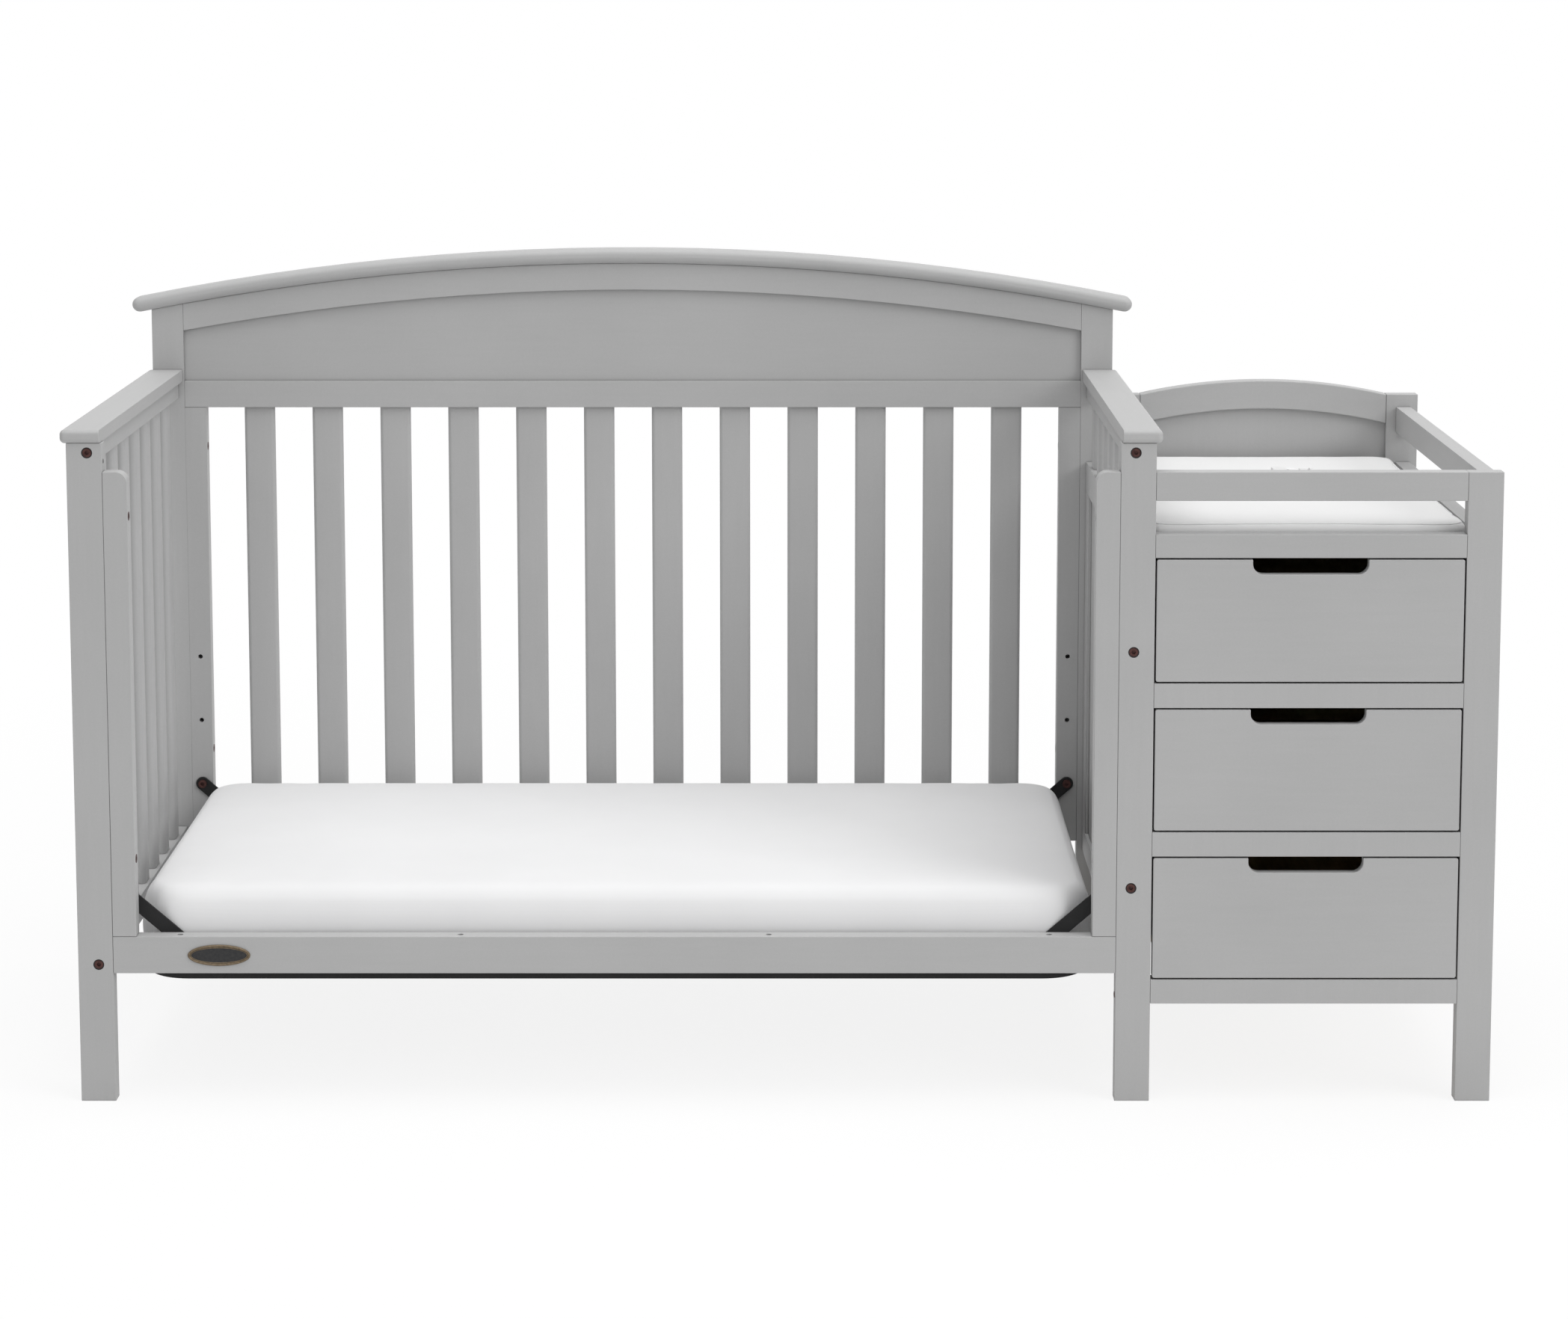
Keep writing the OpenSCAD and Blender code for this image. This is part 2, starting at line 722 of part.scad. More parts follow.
module changer_apron_rail() color(grey)
    front_slab(changer_x0, changer_x1, changer_apron_z, changer_apron_top);

module changer_drawer_rails() color(grey) for (level = [0 : 2])
    front_slab(changer_x0, changer_x1, changer_rail_z + level * drawer_pitch,
               drawer_rail_top + level * drawer_pitch);

module changer_side_top_rail() color(grey)
    side_rail(guard_x, guard_rail_t, guard_rail_z, changer_h);

module changer_side_apron_rail() color(grey) difference() {
    side_rail(guard_x, guard_rail_t, changer_apron_z, changer_apron_top);
    changer_side_panel_shape(groove_room);
}

module changer_side_bottom_rail() color(grey) difference() {
    side_rail(guard_x, guard_rail_t, changer_rail_z, drawer_rail_top);
    changer_side_panel_shape(groove_room);
}

module changer_side_panel() color(grey) changer_side_panel_shape();

module changer_arched_rail() color(grey) difference() {
    upright_plate(back_y, post_t) translate([changer_arch_mid_x, changer_arch_z])
        intersection() {
            difference() {
                circle(r = changer_arch_r, $fn = arch_fn);
                circle(r = changer_arch_r - changer_arch_h, $fn = arch_fn);
            }
            translate([-changer_arch_half, 0]) square([2 * changer_arch_half, changer_arch_r]);
        }
    changer_back_panel_shape(groove_room);
}

module changer_back_panel() color(grey) changer_back_panel_shape();

module changer_back_bottom_rail() color(grey) difference() {
    back_slab(changer_arch_x0, changer_x1, changer_rail_z, drawer_rail_top);
    changer_back_panel_shape(groove_room);
}

module changing_shelf() color(grey)
    slab([right_rail_x + side_rail_t, bay_front_y, shelf_top - shelf_t],
         [guard_x, back_y, shelf_top]);

// Wooden bearers on both sides of each drawer, flush with the posts' inner faces
module drawer_bearers() color(birch) for (level = [0 : 2]) {
    z0 = slide_z(level) - bearer_h / 2;
    slab([right_rail_x + side_rail_t, bay_front_y, z0], [changer_x0, back_y, z0 + bearer_h]);
    slab([changer_x1, bay_front_y, z0], [guard_x, back_y, z0 + bearer_h]);
}

// ---------- drawer slides ----------

// Folded channel that opens towards +X, its back at X = 0, centred on Z = 0
module channel(y, deep, height) {
    difference() {
        slab([0, y, -height / 2], [deep, y + slide_l, height / 2]);
        slab([slide_t, y - cut, slide_t - height / 2],
             [deep + cut, y + slide_l + cut, height / 2 - slide_t]);
    }
}

// Mirrors a slide of the bay's left side to its right side
module both_sides() {
    children();
    translate([2 * bay_mid_x, 0, 0]) mirror([1, 0, 0]) children();
}

channel_deep = slide_w - 2 * slide_t;

module drawer_slide_channels() color(zinc) for (level = [0 : 2])
    both_sides() translate([changer_x0, 0, slide_z(level)])
        channel(outer_slide_y, channel_deep, slide_h);

// The inner channel runs inside the outer one and is screwed to the drawer side
module drawer_slides(level) color(zinc) both_sides()
    translate([drawer_box_x0, 0, slide_z(level)]) mirror([1, 0, 0])
        channel(inner_slide_y, channel_deep, slide_h - 2 * (slide_t + slide_clear));

// ---------- drawers ----------

// Room for the drawer bottom in its grooves
module drawer_bottom_shape(level, room = 0) {
    reach = drawer_side_t / 2 - groove_room + room;
    z0 = drawer_side_z(level) + drawer_bottom_up;
    slab([drawer_box_x0 + drawer_side_t - reach, front_y + drawer_front_t - reach, z0],
         [drawer_box_x1 - drawer_side_t + reach, drawer_back_y - drawer_side_t + reach,
          z0 + drawer_bottom_t]);
}

// Rectangle with four round corners, built from plain shapes
module round_rectangle(w, h, r) {
    translate([r, 0]) square([w - 2 * r, h]);
    translate([0, r]) square([w, h - 2 * r]);
    for (x = [r, w - r], y = [r, h - r]) translate([x, y]) circle(r = r);
}

module drawer_front(level) color(grey) difference() {
    w = changer_open_w - 2 * drawer_gap;
    upright_plate(front_y, drawer_front_t)
        translate([changer_x0 + drawer_gap, drawer_z(level)]) difference() {
            round_rectangle(w, drawer_front_h, drawer_front_r);
            translate([(w - pull_w) / 2, drawer_front_h - pull_h])
                round_rectangle(pull_w, 2 * pull_h + pull_r, pull_r);
        }
    drawer_bottom_shape(level, groove_room);
}

module drawer_box(level) color(birch) difference() {
    z0 = drawer_side_z(level);
    y0 = front_y + drawer_front_t;
    union() {
        both_sides() slab([drawer_box_x0, y0, z0],
                          [drawer_box_x0 + drawer_side_t, drawer_back_y, z0 + drawer_side_h]);
        slab([drawer_box_x0 + drawer_side_t, drawer_back_y - drawer_side_t, z0],
             [drawer_box_x1 - drawer_side_t, drawer_back_y, z0 + drawer_side_h]);
    }
    drawer_bottom_shape(level, groove_room);
}

module drawer_bottom(level) color(birch) drawer_bottom_shape(level);

module upper_drawer_front() drawer_front(2);
module upper_drawer_box() drawer_box(2);
module upper_drawer_bottom() drawer_bottom(2);
module upper_drawer_slides() drawer_slides(2);
module middle_drawer_front() drawer_front(1);
module middle_drawer_box() drawer_box(1);
module middle_drawer_bottom() drawer_bottom(1);
module middle_drawer_slides() drawer_slides(1);
module lower_drawer_front() drawer_front(0);
module lower_drawer_box() drawer_box(0);
module lower_drawer_bottom() drawer_bottom(0);
module lower_drawer_slides() drawer_slides(0);

// ---------- mattress support ----------

// Outline of the support frame, drawn in by a distance
module support_outline(inset) {
    translate([support_x0 + inset, support_y0 + inset])
        round_rectangle(support_x1 - support_x0 - 2 * inset,
                        support_y1 - support_y0 - 2 * inset, support_r - inset);
}

// Angle-steel frame: an upright flange around a level flange that carries the bars
module mattress_support_frame() color(black_steel) translate([0, 0, support_z]) {
    linear_extrude(support_flange_h) difference() {
        support_outline(0);
        support_outline(support_t);
    }
    linear_extrude(support_t) difference() {
        support_outline(0);
        support_outline(support_flange_w);
    }
}

module mattress_support_bars() color(black_steel) {
    first_x = support_x0 + support_r + cross_bar_w / 2;
    last_x = support_x1 - support_r - cross_bar_w / 2;
    for (i = [0 : cross_bars_n - 1]) {
        x = first_x + i * (last_x - first_x) / (cross_bars_n - 1);
        slab([x - cross_bar_w / 2, support_y0 + support_t, support_z + support_t],
             [x + cross_bar_w / 2, support_y1 - support_t, bars_top]);
    }
}

// Strap from a hanger hole down to the frame's flange, sloping towards +X
module hanger(y) {
    translate([left_hanger_x, y + hanger_t, hanger_hole_z]) rotate([90, 0, 0])
        rotate([0, 0, -hanger_slope]) difference() {
            union() {
                translate([0, -hanger_w / 2, 0]) cube([hanger_l, hanger_w, hanger_t]);
                for (x = [0, hanger_l]) translate([x, 0, 0]) cylinder(d = hanger_w, h = hanger_t);
            }
            translate([0, 0, -cut]) cylinder(d = bolt_hole_d, h = hanger_t + 2 * cut);
        }
}

module mattress_support_hangers() color(black_steel) for (y = [bay_front_y, back_y - hanger_t]) {
    hanger(y);
    translate([2 * crib_mid_x, 0, 0]) mirror([1, 0, 0]) hanger(y);
}

// ---------- mattress and changing pad ----------

corner_steps = 8;
side_steps = 8;
crown_steps = 5;

// Points of a rectangle with round corners, drawn in by inset, at height z
function cushion_ring(w, d, r, inset, z) =
    let (rr = max(r - inset, 2), hw = w / 2 - inset - rr, hd = d / 2 - inset - rr)
    [for (corner = [0 : 3], step = [0 : corner_steps])
        let (a = 90 * corner + 90 * step / corner_steps,
             sx = corner == 0 || corner == 3 ? 1 : -1, sy = corner < 2 ? 1 : -1)
        [sx * hw + rr * cos(a), sy * hd + rr * sin(a), z]];

// Soft block on Z = 0: its sides swell to the full size at mid height, and its top is crowned
module cushion(w, d, h, r, draw, crown) {
    ring_n = 4 * (corner_steps + 1);
    side = [for (i = [0 : side_steps])
        let (a = -90 + 180 * i / side_steps) [draw * (1 - cos(a)), h / 2 * (1 + sin(a))]];
    span = min(w, d) / 2 - draw - 5;
    top = [for (i = [1 : crown_steps])
        let (t = i / crown_steps) [draw + span * t, h + crown * (1 - pow(1 - t, 2))]];
    profile = concat(side, top);
    last = len(profile) - 1;
    points = [for (p = profile) each cushion_ring(w, d, r, p[0], p[1])];
    walls = [for (i = [0 : last - 1], j = [0 : ring_n - 1])
        let (a = i * ring_n + j, b = i * ring_n + (j + 1) % ring_n)
        each [[a, a + ring_n, b + ring_n], [a, b + ring_n, b]]];
    lids = [for (j = [1 : ring_n - 2])
        each [[0, j, j + 1], [last * ring_n, last * ring_n + j + 1, last * ring_n + j]]];
    polyhedron(points = points, faces = concat(walls, lids));
}

module mattress() color(white_cloth) {
    w = crib_open_w - 2 * mattress_gap;
    d = bay_d - 2 * (hanger_t + soft_clear);
    translate([crib_mid_x, bay_mid_y, bars_top + soft_clear])
        cushion(w, d, mattress_h, mattress_r, mattress_draw, mattress_crown);
}

module changing_pad() color(white_cloth) {
    x0 = right_rail_x + side_rail_t + pad_gap;
    x1 = guard_x - pad_gap;
    translate([(x0 + x1) / 2, bay_mid_y, shelf_top + soft_clear])
        cushion(x1 - x0, bay_d - pad_gap, pad_h, pad_r, pad_draw, pad_crown);
}

front_left_post();
front_centre_post();
front_right_post();
back_left_post();
back_centre_post();
changer_back_left_post();
changer_back_right_post();
left_arm_cap();
right_arm_cap();
left_side_top_rail();
left_side_bottom_rail();
left_side_slats();
right_side_top_rail();
right_side_mid_rail();
right_side_bottom_rail();
right_side_slats();
right_side_panel_stiles();
right_side_panel();
front_rail();
front_stiles();
headboard_cap();
headboard_apron();
headboard_panel();
headboard_lower_rail();
back_slats();
back_bottom_rail();
back_stiles();
changer_top_rail();
changer_apron_rail();
changer_drawer_rails();
changer_side_top_rail();
changer_side_apron_rail();
changer_side_panel();
changer_side_bottom_rail();
changer_arched_rail();
changer_back_panel();
changer_back_bottom_rail();
changing_shelf();
drawer_bearers();
drawer_slide_channels();
frame_bolts();
mattress_support_frame();
mattress_support_bars();
mattress_support_hangers();
mattress();
changing_pad();
upper_drawer_front();
upper_drawer_box();
upper_drawer_bottom();
upper_drawer_slides();
middle_drawer_front();
middle_drawer_box();
middle_drawer_bottom();
middle_drawer_slides();
lower_drawer_front();
lower_drawer_box();
lower_drawer_bottom();
lower_drawer_slides();
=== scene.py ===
"""Looks for the crib with attached changer: painted wood, black steel, bronze bolts and white cloth.

Everything is in metres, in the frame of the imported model. The solids stay as they are; this
script eases their edges, gives them materials, and adds the sewn covers and the small trim.
"""

import math

import bmesh
import bpy
import numpy
from mathutils import Matrix, Vector
from mathutils.bvhtree import BVHTree


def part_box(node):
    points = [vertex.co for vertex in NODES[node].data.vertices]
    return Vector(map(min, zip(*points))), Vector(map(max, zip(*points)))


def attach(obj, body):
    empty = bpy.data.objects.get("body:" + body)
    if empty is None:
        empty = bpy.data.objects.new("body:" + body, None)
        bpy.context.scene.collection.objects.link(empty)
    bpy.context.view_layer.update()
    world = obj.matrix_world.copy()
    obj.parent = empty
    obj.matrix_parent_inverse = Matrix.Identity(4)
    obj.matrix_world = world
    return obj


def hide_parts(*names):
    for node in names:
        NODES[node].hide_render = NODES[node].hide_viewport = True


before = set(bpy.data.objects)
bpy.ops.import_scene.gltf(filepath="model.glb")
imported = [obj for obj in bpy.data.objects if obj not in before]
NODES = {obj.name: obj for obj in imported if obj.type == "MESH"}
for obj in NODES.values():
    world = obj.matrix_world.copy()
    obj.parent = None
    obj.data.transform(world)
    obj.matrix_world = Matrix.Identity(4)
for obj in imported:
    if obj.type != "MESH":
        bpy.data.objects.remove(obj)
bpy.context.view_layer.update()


# ---------------------------------------------------------------- materials

def new_material(name):
    """An empty node material with a Principled shader; returns the material, its tree and shader."""
    mat = bpy.data.materials.new(name)
    mat.use_nodes = True
    tree = mat.node_tree
    bsdf = tree.nodes["Principled BSDF"]
    return mat, tree, bsdf


def add(tree, kind, **values):
    """A new node with its inputs or properties set by name."""
    node = tree.nodes.new(kind)
    for key, value in values.items():
        if key in node.inputs:
            node.inputs[key].default_value = value
        else:
            setattr(node, key, value)
    return node


def coordinates(tree, scale=(1, 1, 1)):
    """Object coordinates, stretched per axis."""
    source = add(tree, "ShaderNodeTexCoord")
    mapping = add(tree, "ShaderNodeMapping")
    mapping.inputs["Scale"].default_value = scale
    tree.links.new(source.outputs["Object"], mapping.inputs["Vector"])
    return mapping.outputs["Vector"]


def noise_at(tree, vector, scale, detail=3.0, rough=0.55):
    """A noise value at the given coordinates."""
    node = add(tree, "ShaderNodeTexNoise", Scale=scale, Detail=detail, Roughness=rough)
    tree.links.new(vector, node.inputs["Vector"])
    return node.outputs["Fac"]


def ramp(tree, value, low, high, from_min=0.3, from_max=0.7):
    """Maps a noise value to the range low..high."""
    node = add(tree, "ShaderNodeMapRange")
    for key, number in (("From Min", from_min), ("From Max", from_max),
                        ("To Min", low), ("To Max", high)):
        node.inputs[key].default_value = number
    tree.links.new(value, node.inputs["Value"])
    return node.outputs["Result"]


def colour_between(tree, value, dark, light):
    """A colour that goes from dark to light as the value goes from 0 to 1."""
    node = add(tree, "ShaderNodeMix", data_type="RGBA")
    node.inputs["A"].default_value = (*dark, 1)
    node.inputs["B"].default_value = (*light, 1)
    tree.links.new(value, node.inputs["Factor"])
    return node.outputs["Result"]


def bump(tree, heights, bsdf):
    """Chains bumps, each a (height socket, distance, strength), into the shader's normal."""
    normal = None
    for height, distance, strength in heights:
        node = add(tree, "ShaderNodeBump", Distance=distance, Strength=strength)
        tree.links.new(height, node.inputs["Height"])
        if normal is not None:
            tree.links.new(normal, node.inputs["Normal"])
        normal = node.outputs["Normal"]
    tree.links.new(normal, bsdf.inputs["Normal"])


PAINT = (0.412, 0.412, 0.412)


def painted_crevice_shade(tree, colour, distance, darkest):
    """Painted shade: darkens a colour by ambient occlusion in joints and grooves narrower than the
    distance.
    """
    occlusion = add(tree, "ShaderNodeAmbientOcclusion", Distance=distance, samples=6)
    mix = add(tree, "ShaderNodeMix", data_type="RGBA", blend_type="MULTIPLY")
    mix.inputs["Factor"].default_value = 1.0
    shade = colour_between(tree, ramp(tree, occlusion.outputs["AO"], 0, 1, 0.25, 0.85),
                           [darkest] * 3, [1.0] * 3)
    tree.links.new(colour, mix.inputs["A"])
    tree.links.new(shade, mix.inputs["B"])
    return mix.outputs["Result"]


def painted_wood(name, along):
    """Satin grey paint over wood: fine spray texture, a faint grain along one axis, and painted shade
    in its joints and grooves.
    """
    mat, tree, bsdf = new_material(name)
    stretch = [26.0, 26.0, 26.0]
    stretch["xyz".index(along)] = 1.6
    grain = noise_at(tree, coordinates(tree, stretch), 6.0, 4.0, 0.6)
    plain = coordinates(tree)
    cloud = noise_at(tree, plain, 3.2, 3.0)
    spray = noise_at(tree, plain, 420.0, 2.0, 0.5)
    tone = add(tree, "ShaderNodeMath", operation="MULTIPLY_ADD")
    tree.links.new(grain, tone.inputs[0])
    tone.inputs[1].default_value = 0.35
    tree.links.new(cloud, tone.inputs[2])
    speckled = add(tree, "ShaderNodeMath", operation="MULTIPLY_ADD")
    tree.links.new(noise_at(tree, plain, 330.0, 3.0, 0.7), speckled.inputs[0])
    speckled.inputs[1].default_value = 0.55
    tree.links.new(tone.outputs[0], speckled.inputs[2])
    tint = colour_between(tree, ramp(tree, speckled.outputs[0], 0, 1, 0.65, 1.25),
                          [c * 0.955 for c in PAINT], [c * 1.05 for c in PAINT])
    # Painted shade: ambient occlusion darkens the paint in joints, grooves and inner corners
    tree.links.new(painted_crevice_shade(tree, tint, 0.0035, 0.60), bsdf.inputs["Base Color"])
    tree.links.new(ramp(tree, cloud, 0.52, 0.60), bsdf.inputs["Roughness"])
    bsdf.inputs["Specular IOR Level"].default_value = 0.40
    bump(tree, [(grain, 0.0006, 0.10), (spray, 0.00035, 0.14)], bsdf)
    return mat


def joint_shadow_paint():
    """Painted shadow: the same paint, made dark, for the shade at the bottom of a joint."""
    mat, tree, bsdf = new_material("joint_shadow_paint")
    cloud = noise_at(tree, coordinates(tree), 60.0, 3.0)
    tree.links.new(colour_between(tree, ramp(tree, cloud, 0, 1),
                                  [c * 0.30 for c in PAINT], [c * 0.42 for c in PAINT]),
                   bsdf.inputs["Base Color"])
    tree.links.new(ramp(tree, cloud, 0.75, 0.9), bsdf.inputs["Roughness"])
    bsdf.inputs["Specular IOR Level"].default_value = 0.1
    bump(tree, [(cloud, 0.0002, 0.2)], bsdf)
    return mat


def bare_wood():
    """Pale lacquered wood inside the drawers, with grain along Y."""
    mat, tree, bsdf = new_material("bare_wood")
    fine = noise_at(tree, coordinates(tree, (34, 1.2, 34)), 5.0, 6.0, 0.65)
    broad = noise_at(tree, coordinates(tree, (7, 0.5, 7)), 3.0, 3.0)
    mix = add(tree, "ShaderNodeMath", operation="MULTIPLY_ADD")
    tree.links.new(fine, mix.inputs[0])
    mix.inputs[1].default_value = 0.6
    tree.links.new(broad, mix.inputs[2])
    tree.links.new(colour_between(tree, ramp(tree, mix.outputs[0], 0, 1, 0.6, 1.0),
                                  (0.50, 0.375, 0.235), (0.70, 0.585, 0.42)),
                   bsdf.inputs["Base Color"])
    tree.links.new(ramp(tree, fine, 0.42, 0.60), bsdf.inputs["Roughness"])
    bump(tree, [(fine, 0.0006, 0.25)], bsdf)
    return mat


def powder_coat():
    """Black powder coat with a fine texture."""
    mat, tree, bsdf = new_material("black_powder_coat")
    plain = coordinates(tree)
    grit = noise_at(tree, plain, 900.0, 2.0)
    cloud = noise_at(tree, plain, 14.0, 3.0)
    tree.links.new(colour_between(tree, ramp(tree, cloud, 0, 1),
                                  (0.011, 0.011, 0.0115), (0.016, 0.016, 0.0165)),
                   bsdf.inputs["Base Color"])
    tree.links.new(ramp(tree, grit, 0.50, 0.66), bsdf.inputs["Roughness"])
    bsdf.inputs["Specular IOR Level"].default_value = 0.25
    bump(tree, [(grit, 0.0003, 0.25)], bsdf)
    return mat


def bronze():
    """Dark reddish bronze on the bolt heads, brighter on edges."""
    mat, tree, bsdf = new_material("bronze_bolt")
    plain = coordinates(tree)
    cloud = noise_at(tree, plain, 220.0, 3.0)
    geometry = add(tree, "ShaderNodeNewGeometry")
    edge = ramp(tree, geometry.outputs["Pointiness"], 0.0, 0.5, 0.52, 0.6)
    base = colour_between(tree, ramp(tree, cloud, 0, 1),
                          (0.030, 0.010, 0.0095), (0.054, 0.021, 0.019))
    lit = add(tree, "ShaderNodeMix", data_type="RGBA")
    lit.inputs["B"].default_value = (0.12, 0.055, 0.047, 1)
    tree.links.new(edge, lit.inputs["Factor"])
    tree.links.new(base, lit.inputs["A"])
    tree.links.new(lit.outputs["Result"], bsdf.inputs["Base Color"])
    bsdf.inputs["Metallic"].default_value = 0.35
    bsdf.inputs["Specular IOR Level"].default_value = 0.30
    tree.links.new(ramp(tree, cloud, 0.42, 0.56), bsdf.inputs["Roughness"])
    bump(tree, [(cloud, 0.0002, 0.2)], bsdf)
    return mat


def zinc():
    """Bright zinc-plated steel, rolled along Y."""
    mat, tree, bsdf = new_material("zinc_steel")
    rolled = noise_at(tree, coordinates(tree, (90, 1.5, 90)), 8.0, 3.0)
    cloud = noise_at(tree, coordinates(tree), 30.0, 3.0)
    tree.links.new(colour_between(tree, ramp(tree, cloud, 0, 1),
                                  (0.50, 0.51, 0.53), (0.64, 0.65, 0.67)),
                   bsdf.inputs["Base Color"])
    bsdf.inputs["Metallic"].default_value = 1.0
    tree.links.new(ramp(tree, rolled, 0.30, 0.44), bsdf.inputs["Roughness"])
    bump(tree, [(rolled, 0.0002, 0.15)], bsdf)
    return mat


def woven_cloth(name, colour, thread=0.0011, depth=0.00035):
    """Plain weave: crossed threads as two waves, with slight slubs and sheen."""
    mat, tree, bsdf = new_material(name)
    plain = coordinates(tree)
    split = add(tree, "ShaderNodeSeparateXYZ")
    tree.links.new(plain, split.inputs[0])

    def thread_wave(axis, phase):
        scaled = add(tree, "ShaderNodeMath", operation="MULTIPLY_ADD")
        tree.links.new(split.outputs[axis], scaled.inputs[0])
        scaled.inputs[1].default_value = 2 * math.pi / thread
        scaled.inputs[2].default_value = phase
        sine = add(tree, "ShaderNodeMath", operation="SINE")
        tree.links.new(scaled.outputs[0], sine.inputs[0])
        return sine.outputs[0]

    across = add(tree, "ShaderNodeMath", operation="ADD")
    # Side faces run along Z, so Z takes part in both thread directions
    for i, (axis_a, axis_b) in enumerate((("X", "Z"), ("Y", "Z"))):
        pair = add(tree, "ShaderNodeMath", operation="MULTIPLY")
        tree.links.new(thread_wave(axis_a, i * math.pi / 2), pair.inputs[0])
        flat = add(tree, "ShaderNodeMath", operation="ABSOLUTE")
        tree.links.new(thread_wave(axis_b, 0.4), flat.inputs[0])
        lifted = add(tree, "ShaderNodeMath", operation="MULTIPLY_ADD")
        tree.links.new(flat.outputs[0], lifted.inputs[0])
        lifted.inputs[1].default_value = 0.35
        lifted.inputs[2].default_value = 0.65
        tree.links.new(lifted.outputs[0], pair.inputs[1])
        tree.links.new(pair.outputs[0], across.inputs[i])
    slub = noise_at(tree, coordinates(tree, (60, 9, 60)), 9.0, 3.0)
    cloud = noise_at(tree, plain, 6.0, 4.0)
    tree.links.new(colour_between(tree, ramp(tree, cloud, 0, 1),
                                  [c * 0.972 for c in colour], colour),
                   bsdf.inputs["Base Color"])
    tree.links.new(ramp(tree, slub, 0.82, 0.92), bsdf.inputs["Roughness"])
    bsdf.inputs["Specular IOR Level"].default_value = 0.18
    bsdf.inputs["Sheen Weight"].default_value = 0.16
    bsdf.inputs["Sheen Roughness"].default_value = 0.5
    bump(tree, [(across.outputs[0], depth, 0.05), (slub, 0.0005, 0.08), (cloud, 0.004, 0.06)], bsdf)
    return mat


def antique_bronze(name, dark, light):
    """Rubbed antique metal, mottled between two tones and brighter on its raised edges."""
    mat, tree, bsdf = new_material(name)
    cloud = noise_at(tree, coordinates(tree), 260.0, 4.0, 0.6)
    geometry = add(tree, "ShaderNodeNewGeometry")
    edge = ramp(tree, geometry.outputs["Pointiness"], 0.0, 0.6, 0.50, 0.58)
    tone = add(tree, "ShaderNodeMath", operation="ADD", use_clamp=True)
    tree.links.new(ramp(tree, cloud, 0, 0.7), tone.inputs[0])
    tree.links.new(edge, tone.inputs[1])
    tree.links.new(colour_between(tree, tone.outputs[0], dark, light), bsdf.inputs["Base Color"])
    bsdf.inputs["Metallic"].default_value = 0.45
    tree.links.new(ramp(tree, cloud, 0.36, 0.52), bsdf.inputs["Roughness"])
    bump(tree, [(cloud, 0.0002, 0.25)], bsdf)
    return mat


def belt_webbing():
    """White webbing with ribs across it."""
    mat, tree, bsdf = new_material("belt_webbing")
    wave = add(tree, "ShaderNodeTexWave", Scale=150.0, Distortion=0.3)
    wave.bands_direction = "X"
    tree.links.new(coordinates(tree), wave.inputs["Vector"])
    tree.links.new(colour_between(tree, wave.outputs["Fac"],
                                  (0.66, 0.66, 0.66), (0.76, 0.76, 0.76)),
                   bsdf.inputs["Base Color"])
    bsdf.inputs["Roughness"].default_value = 0.8
    bump(tree, [(wave.outputs["Fac"], 0.0005, 0.4)], bsdf)
    return mat


def white_plastic():
    """Satin white plastic of the buckle."""
    mat, tree, bsdf = new_material("white_plastic")
    cloud = noise_at(tree, coordinates(tree), 300.0, 2.0)
    tree.links.new(colour_between(tree, ramp(tree, cloud, 0, 1),
                                  (0.72, 0.72, 0.72), (0.77, 0.77, 0.77)),
                   bsdf.inputs["Base Color"])
    tree.links.new(ramp(tree, cloud, 0.32, 0.44), bsdf.inputs["Roughness"])
    bump(tree, [(cloud, 0.0002, 0.12)], bsdf)
    return mat


PAINT_ALONG = {axis: painted_wood(f"painted_wood_{axis}", axis) for axis in "xyz"}
BARE = bare_wood()
BLACK = powder_coat()
BRONZE = bronze()
ZINC = zinc()
PLATE_RIM = antique_bronze("plate_rim", (0.050, 0.036, 0.022), (0.215, 0.160, 0.098))
PLATE_FIELD = antique_bronze("plate_field", (0.018, 0.0185, 0.0205), (0.045, 0.044, 0.043))
JOINT_SHADOW_PAINT = joint_shadow_paint()
WEBBING = belt_webbing()
PLASTIC = white_plastic()


# ---------------------------------------------------------------- finishing the solids

SHARP_ANGLE = math.radians(38)
SHARP_COS = math.cos(SHARP_ANGLE)
FLAT_ANGLE = math.radians(0.2)
LONG_EDGE = 0.006        # shorter sharp edges belong to the rims of bores
SAME_SPOT = 0.00004
WELD_DIST = 0.00002
ON_AXIS = 0.99           # share of an edge's length that lies along an axis it runs along


def drop_custom_normals(mesh):
    if "custom_normal" in mesh.attributes:
        mesh.attributes.remove(mesh.attributes["custom_normal"])


def dress_mesh(mesh, material):
    """One material, and smooth shading on every face."""
    mesh.materials.clear()
    mesh.materials.append(material)
    mesh.polygons.foreach_set("use_smooth", [True] * len(mesh.polygons))


